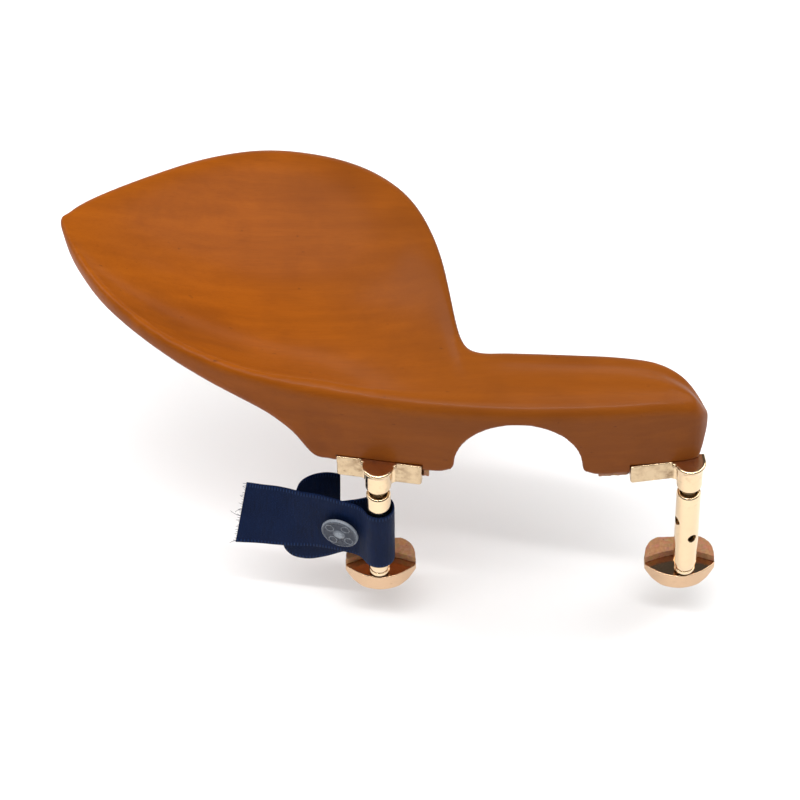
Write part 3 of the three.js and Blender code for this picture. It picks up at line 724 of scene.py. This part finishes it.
def foot_cork(side):
    frame_matrix, shift = foot_frame(side)
    outline = foot_outline(FOOT_HALF_WIDTH - 0.1, FOOT_FAR_HALF - 0.1, FOOT_CORNER_Y + 0.2,
                           CORK_FRONT_Y)
    body = cork_slab(f"{side}_cork_pad", outline, FOOT_TOP + 0.05, FOOT_TOP + GAP + FOOT_CORK,
                     seed=11 if side == "left" else 47)
    return moved(body, frame_matrix @ Matrix.Translation((shift, 0, 0)))


SEAT_CORKS = {
    "left": dict(span=(-37.2, -16.7), tab=(-17.8, -16.7), setback=0.5),
    "right": dict(span=(15.4, 33.4), tab=(15.4, 20.9), setback=1.4),
}
CORK_BEHIND_FLANGE = 4.6
CORK_FAR_Y = 12.4


def seat_cork(side):
    """Cork behind the bracket's flange, and forward to the wall beside it."""
    spec = SEAT_CORKS[side]
    (x0, x1), (t0, t1) = spec["span"], spec["tab"]

    def along(a, b, distance):
        return [(x, x * x / (2 * WALL_RADIUS) + distance) for x in np.linspace(a, b, 14)]

    tab = along(t0, t1, spec["setback"])
    if side == "left":
        near = along(x0, t0, CORK_BEHIND_FLANGE) + tab
    else:
        near = tab + along(t1, x1, CORK_BEHIND_FLANGE)
    outline = near + [(x1, CORK_FAR_Y), (x0, CORK_FAR_Y)]
    return cork_slab(f"{side}_seat_pad", outline, 0, WOOD_BOTTOM - 0.05,
                     seed=83 if side == "left" else 131)


# ---- ribbon tag -------------------------------------------------------------------------------

def ribbon_line():
    """Centre line: x, y, z of its middle, and the lean of its upper edge in x and y."""
    x, y, z = CLAMPS["left"]["x"], CLAMPS["left"]["y"], RIBBON_Z
    line = [
        (-53.2, 4.7, z, 2.4, 2.9), (-49.5, 4.4, z, 1.4, 2.4), (-45.5, 3.9, z, 0.7, 1.9),
        (-41.5, 3.35, z, 0.3, 1.4), (-37.6, 2.85, z, 0, 0.6), (-33.6, 1.75, z, 0, 0.15),
        (-30.3, 0.6, z, 0, 0),
    ]
    for angle in range(-135, 97, 23):
        a = math.radians(angle)
        line.append((x + RIBBON_LOOP * math.cos(a), y + RIBBON_LOOP * math.sin(a), z, 0, 0))
    line += [
        (-30.3, 2.75, z - 0.5, 0, 0), (-33.6, 3.0, z - 1.7, 0, 0.2),
        (-36.8, 3.9, z - 4.1, 0.4, 0.6), (-39.9, 4.5, z - 5.5, 1.2, 0.9),
        (-42.5, 5.0, z - 5.1, 2.2, 1.0), (-43.8, 6.1, z - 3.5, 2.8, 0.9),
        (-43.0, 7.3, z - 1.5, 2.6, 0.7), (-40.6, 7.8, z, 1.8, 0.5),
        (-37.4, 8.0, z + 0.8, 0.9, 0.3), (-34.1, 7.7, z + 0.9, 0.2, 0.2),
    ]
    return np.array(line, float)


def even_curve(line, step):
    """Points at an even spacing on a smooth curve through the line's points."""
    dense = []
    count = len(line)
    for i in range(count - 1):
        p0, p1, p2, p3 = (line[max(0, min(count - 1, k))] for k in (i - 1, i, i + 1, i + 2))
        for t in np.arange(0, 1, 1 / 24):
            dense.append(0.5 * (2 * p1 + (p2 - p0) * t + (2 * p0 - 5 * p1 + 4 * p2 - p3) * t * t
                                + (3 * p1 - p0 - 3 * p2 + p3) * t ** 3))
    dense.append(line[-1])
    dense = np.array(dense)
    pieces = np.linalg.norm(np.diff(dense[:, :3], axis=0), axis=1)
    length = np.concatenate([[0], np.cumsum(pieces)])
    rows = int(round(length[-1] / step)) + 1
    along = np.linspace(0, length[-1], rows)
    curve = np.column_stack([np.interp(along, length, dense[:, k]) for k in range(dense.shape[1])])
    return curve, along


RIBBON_STEP = 0.35
RIBBON_COLUMNS = 46
CRIMP = 0.16


def ribbon():
    """The ribbon, its length, its centre line, and the rise from there to its upper edge."""
    curve, along = even_curve(ribbon_line(), RIBBON_STEP)
    rows = len(curve)
    tangent = np.gradient(curve[:, :2], axis=0)
    tangent /= np.linalg.norm(tangent, axis=1)[:, None]
    across = np.column_stack([-tangent[:, 1], tangent[:, 0], np.zeros(rows)])
    up = np.sqrt(RIBBON_WIDTH ** 2 - curve[:, 3] ** 2 - curve[:, 4] ** 2)
    rise = np.column_stack([curve[:, 3], curve[:, 4], up]) / 2
    v = np.linspace(-1, 1, RIBBON_COLUMNS)
    slack = smoothstep((along - 1) / 4) * smoothstep((18 - along) / 5)
    thick = RIBBON_THICKNESS / 2 * (1 - 0.25 * (np.abs(v) > 0.97))
    rings, uvs = [], []
    for i in range(rows):
        wave = np.sin(along[i] * 0.55 + 0.8) * np.cos(v * 1.9 + along[i] * 0.13)
        crimp = CRIMP * slack[i] * wave
        middle = curve[i, :3] + v[:, None] * rise[i]
        front = middle + (crimp - thick)[:, None] * across[i]
        back = middle + (crimp + thick)[:, None] * across[i]
        rings.append(np.vstack([front, back[::-1]]))
        uvs.append([(along[i], w * RIBBON_WIDTH / 2) for w in v]
                   + [(along[i], w * RIBBON_WIDTH / 2) for w in v[::-1]])
    columns = 2 * RIBBON_COLUMNS
    points = np.array(rings).reshape(-1, 3)
    faces = tube_faces(rows, columns)
    for end in (0, (rows - 1) * columns):
        for j in range(RIBBON_COLUMNS - 1):
            quad = (end + j, end + j + 1, end + columns - 2 - j, end + columns - 1 - j)
            faces.append(quad if end else quad[::-1])
    obj = new_object("satin_ribbon", points, faces)
    flat_uv = np.array(uvs).reshape(-1, 2)
    layer = obj.data.uv_layers.new(name="weave")
    for loop in obj.data.loops:
        layer.data[loop.index].uv = flat_uv[loop.vertex_index] / 10
    outward(obj)
    shade(obj, 50)
    return obj, along[-1], curve, rise


def fray(curve, rise):
    """Loose threads at the ribbon's free cut end."""
    base, lift = curve[0, :3], rise[0]
    direction = curve[0, :3] - curve[3, :3]
    direction /= np.linalg.norm(direction)
    points, faces = [], []
    sides, steps, radius, rooted = 6, 7, 0.055, 0.15
    rng = np.random.default_rng(7)
    threads = [(w, 0.25 + 0.5 * rng.random(), rng.normal(0, 0.25), rng.normal(0, 0.2))
               for w in np.linspace(-0.97, 0.97, 26)]
    threads += [(-0.12, 1.9, 0.9, -0.3), (0.1, 1.3, -0.8, 0.2), (-0.98, 1.2, -0.6, 0.1)]
    for w, reach, bend_up, bend_out in threads:
        start = base + lift * w * 0.995 - direction * rooted
        offset = len(points)
        for k in range(steps + 1):
            t = k / steps
            sag = np.array([0, -bend_out, bend_up]) * t * t
            centre = start + direction * (reach + rooted) * t + sag
            for j in range(sides):
                a = 2 * math.pi * j / sides
                r = radius * (1 - 0.35 * t)
                points.append(centre + r * np.array([0, math.cos(a), math.sin(a)]))
        for k in range(steps):
            for j in range(sides):
                m = (j + 1) % sides
                a, b = offset + k * sides, offset + (k + 1) * sides
                faces.append((a + j, a + m, b + m, b + j))
        faces.append(tuple(offset + j for j in reversed(range(sides))))
        faces.append(tuple(offset + steps * sides + j for j in range(sides)))
    return shade(outward(new_object("ribbon_loose_threads", points, faces)))


def snap_frame():
    """The snap's own frame: z points out of the ribbon's front."""
    turn = Matrix.Rotation(-SNAP_TURN, 4, "Z") @ Matrix.Rotation(math.pi / 2, 4, "X")
    return Matrix.Translation(SNAP_CENTRE) @ turn


def snap_cap():
    """The front half, with its post and four plain ring marks, with a painted highlight where it
    stands proud.
    """
    z, r = 0.78, SNAP_RADIUS
    profile = eased([
        (0, -2.5), (0.75, -2.5), (0.75, z), (r - 0.2, z), (r, z + 0.25), (r - 0.05, z + 0.62),
        (r - 0.35, z + 0.82), (r - 0.75, z + 0.74), (1.2, z + 0.78), (0.95, z + 0.95),
        (0.55, z + 1.02), (0, z + 1.02),
    ], 0.12, closed=False, steps=4)
    body = revolved("snap_front", profile, 96)
    marks = []
    for k in range(4):
        a = math.pi / 4 + k * math.pi / 2 + 0.2
        centre = (SNAP_MARK_REACH * math.cos(a), SNAP_MARK_REACH * math.sin(a))
        ring = [(SNAP_MARK_RADIUS + 0.12 * math.cos(b), z + 0.76 + 0.1 * math.sin(b))
                for b in np.linspace(0, 2 * math.pi, 9)[:-1]]
        marks.append(revolved("mark", ring, 40, centre, closed=True))
    joined(body, *marks)
    # Painted highlight: the rim, the raised marks and the centre are blended towards a pale grey.
    pale = body.data.attributes.new("pale", "FLOAT", "POINT")
    for v in body.data.vertices:
        radius, height = math.hypot(v.co.x, v.co.y) / MM, v.co.z / MM
        rim = smoothstep((radius - 0.9 * r) / (0.08 * r))
        raised = smoothstep((height - z - 0.78) / 0.05)
        dot = smoothstep((0.85 - radius) / 0.15) if height > z else 0
        pale.data[v.index].value = float(max(rim, 0.55 * raised, dot))
    return shade(moved(body, snap_frame()), 40)


def snap_socket():
    front = -2.3
    profile = eased([
        (1.1, front - 1.1), (2.6, front - 1.1), (3.0, front - 0.8), (3.0, front), (1.1, front),
    ], 0.12, steps=3)
    body = revolved("snap_back", profile, 72, closed=True)
    return shade(moved(body, snap_frame()), 40)


# ---- materials --------------------------------------------------------------------------------

def set_inputs(tree, node, inputs):
    """Sets or links a node's inputs, by number or by name with _ for a space."""
    for key, value in inputs.items():
        socket = node.inputs[key.replace("_", " ") if isinstance(key, str) else key]
        if isinstance(value, bpy.types.NodeSocket):
            tree.links.new(value, socket)
        else:
            socket.default_value = value
    return node


def add_node(tree, kind, **inputs):
    return set_inputs(tree, tree.nodes.new("ShaderNode" + kind), inputs)


class Shader:
    """A material's node tree with short calls for making and joining nodes."""

    def __init__(self, name, **settings):
        self.material = bpy.data.materials.new(name)
        self.material.use_nodes = True
        self.tree = self.material.node_tree
        self.surface = self.tree.nodes["Principled BSDF"]
        self.coordinates = self.node("TexCoord")
        self.set(**settings)

    def node(self, kind, **inputs):
        return add_node(self.tree, kind, **inputs)

    def set(self, **inputs):
        set_inputs(self.tree, self.surface, inputs)

    def at(self, scale=(1, 1, 1), turn=(0, 0, 0), source="Object"):
        vector = self.coordinates.outputs[source]
        return self.node("Mapping", Vector=vector, Scale=scale, Rotation=turn).outputs["Vector"]

    def noise(self, vector, scale, detail=3.0, roughness=0.5, distortion=0.0):
        node = self.node("TexNoise", Vector=vector, Scale=scale, Detail=detail,
                         Roughness=roughness, Distortion=distortion)
        return node.outputs["Fac"]

    def cells(self, vector, scale, output="Distance"):
        return self.node("TexVoronoi", Vector=vector, Scale=scale).outputs[output]

    def wave(self, vector, scale, axis, distortion=0.0):
        node = self.node("TexWave", Vector=vector, Scale=scale, Distortion=distortion)
        node.bands_direction = axis
        return node.outputs["Fac"]

    def ramp(self, value, low, high, out_low=0.0, out_high=1.0):
        node = self.node("MapRange", Value=value, From_Min=low, From_Max=high, To_Min=out_low,
                         To_Max=out_high)
        return node.outputs["Result"]

    def axis(self, source, name):
        return self.node("SeparateXYZ", Vector=self.coordinates.outputs[source]).outputs[name]

    def attribute(self, name):
        node = self.node("Attribute")
        node.attribute_name = name
        return node.outputs["Fac"]

    def maths(self, operation, a, b):
        node = self.node("Math")
        node.operation = operation
        return set_inputs(self.tree, node, {0: a, 1: b}).outputs[0]

    def blend(self, factor, a, b, mode="MIX"):
        node = self.node("Mix")
        node.data_type = "RGBA"
        node.blend_type = mode
        return set_inputs(self.tree, node, {0: factor, 6: a, 7: b}).outputs[2]

    def bump(self, height, strength, distance, **below):
        node = self.node("Bump", Height=height, Strength=strength, Distance=distance, **below)
        return node.outputs["Normal"]


def wood_material():
    m = Shader("stained_boxwood", IOR=1.45, Specular_IOR_Level=0.05, Coat_Weight=0.08,
               Coat_Roughness=0.18, Coat_IOR=1.5)
    fibre = m.noise(m.at((30, 620, 620), (0, 0, 0.06)), 10, 3, 0.6)
    streak = m.noise(m.at((4, 60, 60), (0, 0, 0.05)), 10, 4, 0.55, 0.4)
    band = m.noise(m.at((1.2, 14, 14), (0, 0.04, 0.08)), 10, 3, 0.5, 0.6)
    mottle = m.noise(m.at(), 70, 5, 0.6)
    cloud = m.noise(m.at((1, 1.6, 1)), 24, 3, 0.55)
    light, mid = (0.308, 0.077, 0.0044, 1), (0.260, 0.062, 0.0034, 1)
    deep, arm_shade_tone = (0.128, 0.028, 0.0026, 1), (0.14, 0.045, 0.009, 1)
    fleck_tone = (0.05, 0.016, 0.006, 1)
    colour = m.blend(m.ramp(streak, 0.25, 0.75), mid, light)
    colour = m.blend(m.ramp(band, 0.35, 0.7, 0, 0.28), colour, deep)
    colour = m.blend(m.ramp(mottle, 0.5, 0.72, 0, 0.32), colour, deep)
    colour = m.blend(m.ramp(cloud, 0.48, 0.64, 0, 0.5), colour, deep)
    colour = m.blend(m.ramp(fibre, 0.45, 0.75, 0, 0.22), colour, deep)
    # Painted shade: the right of the dish, the neck and the arm with its rear wall are blended
    # towards a darker brown.
    arm = m.ramp(m.axis("Object", "X"), -0.055, -0.012, 0, 0.36)
    colour = m.blend(arm, colour, arm_shade_tone)
    fleck = m.cells(m.at((160, 620, 620), (0, 0, 0.05)), 1)
    chosen = m.noise(m.at(), 900, 1, 0.4)
    fleck = m.maths("MULTIPLY", m.ramp(fleck, 0.16, 0.04), m.ramp(chosen, 0.60, 0.66))
    colour = m.blend(m.maths("MULTIPLY", fleck, 0.5), colour, fleck_tone)
    m.set(Base_Color=colour)
    m.set(Roughness=m.ramp(m.maths("ADD", fibre, mottle), 0.6, 1.4, 0.36, 0.5))
    normal = m.bump(fibre, 0.12, 0.0001)
    m.set(Normal=m.bump(mottle, 0.08, 0.0006, Normal=normal))
    return m.material


def gold_material(name, tone, roughness, pitted, cast=False):
    """Plated metal. On a cast piece a point attribute says where the plating is worn and where
    shade is painted, darkest beside the boss.
    """
    m = Shader(name, Metallic=1.0)
    haze = m.noise(m.at(), 260, 4, 0.6)
    fine = m.noise(m.at(), 2400, 3, 0.6)
    dull = m.noise(m.at(turn=(0.4, 0.2, 0)), 620, 5, 0.65)
    tarnish = tuple(0.62 * c for c in tone[:3]) + (1,)
    colour = m.blend(m.ramp(dull, 0.52, 0.75, 0, pitted), tone, tarnish)
    spots = m.ramp(m.cells(m.at(), 700), 0.22, 0.1, 0, pitted)
    spots = m.maths("MULTIPLY", spots, m.ramp(haze, 0.5, 0.6))
    if cast:
        # Worn plating and painted shade: the wings darken, most of all next to the boss.
        grime_and_shade = m.attribute("grime_and_shade")
        stain_and_shade = m.maths("MULTIPLY", m.ramp(dull, 0.42, 0.62, 0, 0.75), grime_and_shade)
        colour = m.blend(m.maths("MULTIPLY", m.ramp(grime_and_shade, 0.0, 0.4), 0.8), colour, tarnish)
        colour = m.blend(stain_and_shade, colour, (0.20, 0.115, 0.055, 1))
        spots = m.maths("MULTIPLY", spots, m.ramp(grime_and_shade, 0.0, 0.3, 0.15, 1))
    colour = m.blend(spots, colour, (0.16, 0.09, 0.04, 1))
    m.set(Base_Color=colour)
    uneven = m.maths("ADD", haze, fine)
    m.set(Roughness=m.ramp(uneven, 0.7, 1.35, roughness * 0.6, roughness * 1.5))
    pits = m.ramp(m.noise(m.at(), 1500, 2, 0.5), 0.3, 0.42)
    normal = m.bump(pits, 0.08 + 0.1 * pitted, 0.00004)
    m.set(Normal=m.bump(haze, 0.05, 0.0004, Normal=normal))
    return m.material


def cork_material():
    m = Shader("agglomerated_cork", Roughness=0.88, IOR=1.4)
    grain = m.cells(m.at(), 1300, "Color")
    tone = m.noise(m.at(), 1500, 4, 0.7)
    dark = m.cells(m.at((1, 1, 1.4)), 800)
    colour = m.blend(m.ramp(tone, 0.3, 0.7), (0.46, 0.235, 0.120, 1), (0.33, 0.155, 0.078, 1))
    colour = m.blend(0.16, colour, grain, "SOFT_LIGHT")
    colour = m.blend(m.ramp(dark, 0.12, 0.04, 0, 0.8), colour, (0.07, 0.03, 0.018, 1))
    m.set(Base_Color=colour)
    m.set(Normal=m.bump(tone, 0.5, 0.00025))
    return m.material


def satin_material():
    m = Shader("navy_satin", IOR=1.45, Specular_IOR_Level=0.05, Sheen_Weight=0.015,
               Sheen_Roughness=0.35, Sheen_Tint=(0.2, 0.35, 0.9, 1))
    # The weave map runs along the ribbon in x and across it in y, in centimetres.
    weft = m.wave(m.at(source="UV"), 9.5, "X")
    warp = m.wave(m.at(source="UV"), 13.0, "Y", 0.4)
    slub = m.noise(m.at((26, 60, 1), source="UV"), 1.3, 3, 0.6)
    across = m.noise(m.at((60, 1.6, 1), source="UV"), 1.0, 4, 0.65)
    cloud = m.noise(m.at(source="UV"), 1.6, 3, 0.5)
    dark, mid = (0.0020, 0.0046, 0.016, 1), (0.0043, 0.0120, 0.046, 1)
    pale = (0.012, 0.032, 0.105, 1)
    # Painted sheen: the across noise paints the satin's light and dark streaks into its colour.
    colour = m.blend(m.ramp(across, 0.3, 0.7), dark, mid)
    colour = m.blend(m.ramp(cloud, 0.35, 0.65, 0, 0.6), colour, mid)
    colour = m.blend(m.ramp(slub, 0.52, 0.72, 0, 0.75), colour, pale)
    # The selvedge is a narrow band with a stitch about every 0.6 mm.
    edge = m.maths("ABSOLUTE", m.axis("UV", "Y"), 0)
    band = m.maths("MULTIPLY", m.ramp(edge, 0.655, 0.675), m.ramp(edge, 0.748, 0.735))
    stitch = m.wave(m.at(source="UV"), 5.2, "X", 0.6)
    stitch = m.maths("MULTIPLY", band, m.ramp(stitch, 0.55, 0.8))
    colour = m.blend(m.maths("MULTIPLY", band, 0.35), colour, dark)
    colour = m.blend(m.maths("MULTIPLY", stitch, 0.8), colour, pale)
    m.set(Base_Color=colour)
    m.set(Roughness=m.ramp(across, 0.25, 0.75, 0.36, 0.55))
    height = m.maths("MULTIPLY", weft, 0.6)
    for relief, share in ((warp, 0.5), (across, 0.8), (slub, 0.7), (stitch, 1.6)):
        height = m.maths("ADD", height, m.maths("MULTIPLY", relief, share))
    m.set(Normal=m.bump(height, 0.4, 0.00007))
    return m.material


def snap_material():
    m = Shader("clouded_plastic", IOR=1.46, Specular_IOR_Level=0.3, Transmission_Weight=0.2)
    cloud = m.noise(m.at(), 420, 3, 0.5)
    body = m.blend(m.ramp(cloud, 0.3, 0.7), (0.022, 0.030, 0.052, 1), (0.034, 0.044, 0.072, 1))
    m.set(Base_Color=m.blend(m.attribute("pale"), body, (0.32, 0.35, 0.40, 1)))
    m.set(Roughness=m.ramp(cloud, 0.3, 0.7, 0.2, 0.34))
    m.set(Normal=m.bump(m.noise(m.at(), 900, 2, 0.5), 0.04, 0.0001))
    return m.material


def steel_material():
    m = Shader("turned_steel", Metallic=1.0)
    lines = m.noise(m.at((900, 900, 60)), 4, 3, 0.5)
    dull, bright = (0.50, 0.48, 0.43, 1), (0.62, 0.59, 0.53, 1)
    m.set(Base_Color=m.blend(m.ramp(lines, 0.3, 0.7), dull, bright))
    m.set(Roughness=m.ramp(lines, 0.3, 0.7, 0.25, 0.42))
    m.set(Normal=m.bump(lines, 0.1, 0.00005))
    return m.material


MATERIALS = {
    "boxwood": wood_material(),
    "cork": cork_material(),
    "gold": gold_material("gold_plate", (0.82, 0.62, 0.40, 1), 0.13, 0.12),
    "gold_wing": gold_material("gold_plate_cast", (0.80, 0.60, 0.38, 1), 0.14, 0.7, cast=True),
    # The feet get a darker, redder copy of the gold.
    "gold_foot": gold_material("gold_plate_darker", (0.64, 0.43, 0.27, 1), 0.16, 0.3),
    # The threads' gold is darkened as painted shade of the narrow gaps they show through.
    "thread": gold_material("thread_painted_shade", (0.34, 0.23, 0.12, 1), 0.33, 0.6),
    "screw_steel": steel_material(),
    "ribbon": satin_material(),
    "clear_snap": snap_material(),
}


def place(obj, body, node, slot, look=None):
    """Puts a piece on its body in place of a CAD node, with the slot's material or another look."""
    obj.data.materials.clear()
    obj.data.materials.append(MATERIALS[look or slot])
    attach(obj, body)
    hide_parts(node)
    return obj


# ---- assembly ---------------------------------------------------------------------------------

place(rest_plate(), "rest", "rest_plate", "boxwood")
for side in CLAMPS:
    place(seat_cork(side), "rest", f"{side}_seat_cork", "cork")
    place(bracket(side), "rest", BRACKETS[side]["node"], "gold", "gold_wing")
    place(wood_screw(side, 0), "rest", f"{side}_screw_a", "screw_steel")
    place(wood_screw(side, 1), "rest", f"{side}_screw_b", "screw_steel")
    place(upper_stud(side), "rest", f"{side}_upper_stud", "thread")
    place(barrel(side), f"{side}_turnbuckle", f"{side}_barrel", "gold")
    place(collar(side), f"{side}_carriage", f"{side}_collar", "gold")
    place(lower_stud(side), f"{side}_jaw_stud", f"{side}_lower_stud", "thread")
    place(foot(side), f"{side}_jaw", f"{side}_foot", "gold", "gold_foot")
    place(foot_cork(side), f"{side}_jaw", f"{side}_foot_cork", "cork")

cloth, cloth_length, cloth_curve, cloth_rise = ribbon()
place(cloth, "tag", "tag_ribbon", "ribbon")
threads = fray(cloth_curve, cloth_rise)
threads.data.materials.append(MATERIALS["ribbon"])
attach(threads, "tag")
place(snap_cap(), "tag", "snap_cap", "clear_snap")
place(snap_socket(), "tag", "snap_socket", "clear_snap")


# ---- floor, light and camera, in metres -------------------------------------------------------

FLOOR_Z = -0.0442
FLOOR_HALF = 3.0

CAMERA_AZIMUTH, CAMERA_ELEVATION, CAMERA_ROLL = 2.09, 49.5, -0.5
CAMERA_DISTANCE = 0.950
CAMERA_TARGET = (-0.0225, 0.011, 0.010)
SENSOR_WIDTH, FOCAL_LENGTH = 36, 225
VERTICAL_SHIFT = 0.00375


def floor():
    corners = ((-1, -1), (1, -1), (1, 1), (-1, 1))
    mesh = bpy.data.meshes.new("floor")
    mesh.from_pydata([(FLOOR_HALF * x, FLOOR_HALF * y, FLOOR_Z) for x, y in corners], [],
                     [(0, 1, 2, 3)])
    obj = bpy.data.objects.new("floor", mesh)
    bpy.context.scene.collection.objects.link(obj)
    sweep = bpy.data.materials.new("pale_sweep")
    sweep.use_nodes = True
    set_inputs(sweep.node_tree, sweep.node_tree.nodes["Principled BSDF"], dict(
        Base_Color=(0.88, 0.88, 0.88, 1), Roughness=0.9, Specular_IOR_Level=0.1,
    ))
    mesh.materials.append(sweep)


def area_light(name, location, target, size, power):
    data = bpy.data.lights.new(name, "AREA")
    data.shape = "RECTANGLE"
    data.size, data.size_y = size
    data.energy = power
    obj = bpy.data.objects.new(name, data)
    obj.location = location
    obj.rotation_euler = (Vector(target) - Vector(location)).to_track_quat("-Z", "Y").to_euler()
    bpy.context.scene.collection.objects.link(obj)


def camera():
    azimuth, elevation = math.radians(CAMERA_AZIMUTH), math.radians(CAMERA_ELEVATION)
    roll = math.radians(CAMERA_ROLL)
    forward = Vector((-math.sin(azimuth) * math.cos(elevation),
                      math.cos(azimuth) * math.cos(elevation), -math.sin(elevation)))
    level = Vector((math.cos(azimuth), math.sin(azimuth), 0))
    upright = level.cross(forward)
    right = level * math.cos(roll) + upright * math.sin(roll)
    up = upright * math.cos(roll) - level * math.sin(roll)
    data = bpy.data.cameras.new("camera")
    data.sensor_width = SENSOR_WIDTH
    data.lens = FOCAL_LENGTH
    data.shift_y = VERTICAL_SHIFT
    data.clip_start, data.clip_end = 0.01, 20
    obj = bpy.data.objects.new("camera", data)
    eye = Vector(CAMERA_TARGET) - forward * CAMERA_DISTANCE
    axes = Matrix((right, up, -forward)).transposed().to_4x4()
    obj.matrix_world = Matrix.Translation(eye) @ axes
    bpy.context.scene.collection.objects.link(obj)
    bpy.context.scene.camera = obj


def studio():
    """Dim surroundings, a little brighter at the horizon."""
    world = bpy.data.worlds.new("studio")
    bpy.context.scene.world = world
    world.use_nodes = True
    tree = world.node_tree
    sky = add_node(tree, "TexCoord").outputs["Generated"]
    height = add_node(tree, "SeparateXYZ", Vector=sky).outputs["Z"]
    strength = add_node(tree, "MapRange", Value=height, From_Min=0.25, From_Max=0.65,
                        To_Min=0.12, To_Max=0.09).outputs["Result"]
    set_inputs(tree, tree.nodes["Background"], dict(Color=(1, 1, 1, 1), Strength=strength))


floor()
camera()
area_light("left_box", (-0.92, 0.45, 0.95), (-0.02, 0.02, 0), (0.8, 1.0), 10)
area_light("right_box", (0.92, 0.45, 0.95), (0, 0.02, 0), (0.8, 1.0), 8)
area_light("top_box", (-0.03, -0.18, 1.3), (-0.03, 0.0, 0), (2.2, 1.0), 18)
area_light("crest_strip", (-0.1, -0.42, 1.25), (-0.03, 0.02, 0), (1.3, 0.04), 7)
area_light("back_strip", (-0.1, 1.35, 0.38), (-0.02, 0.02, 0), (1.3, 0.3), 2)
studio()
bpy.context.scene.view_settings.view_transform = "Standard"
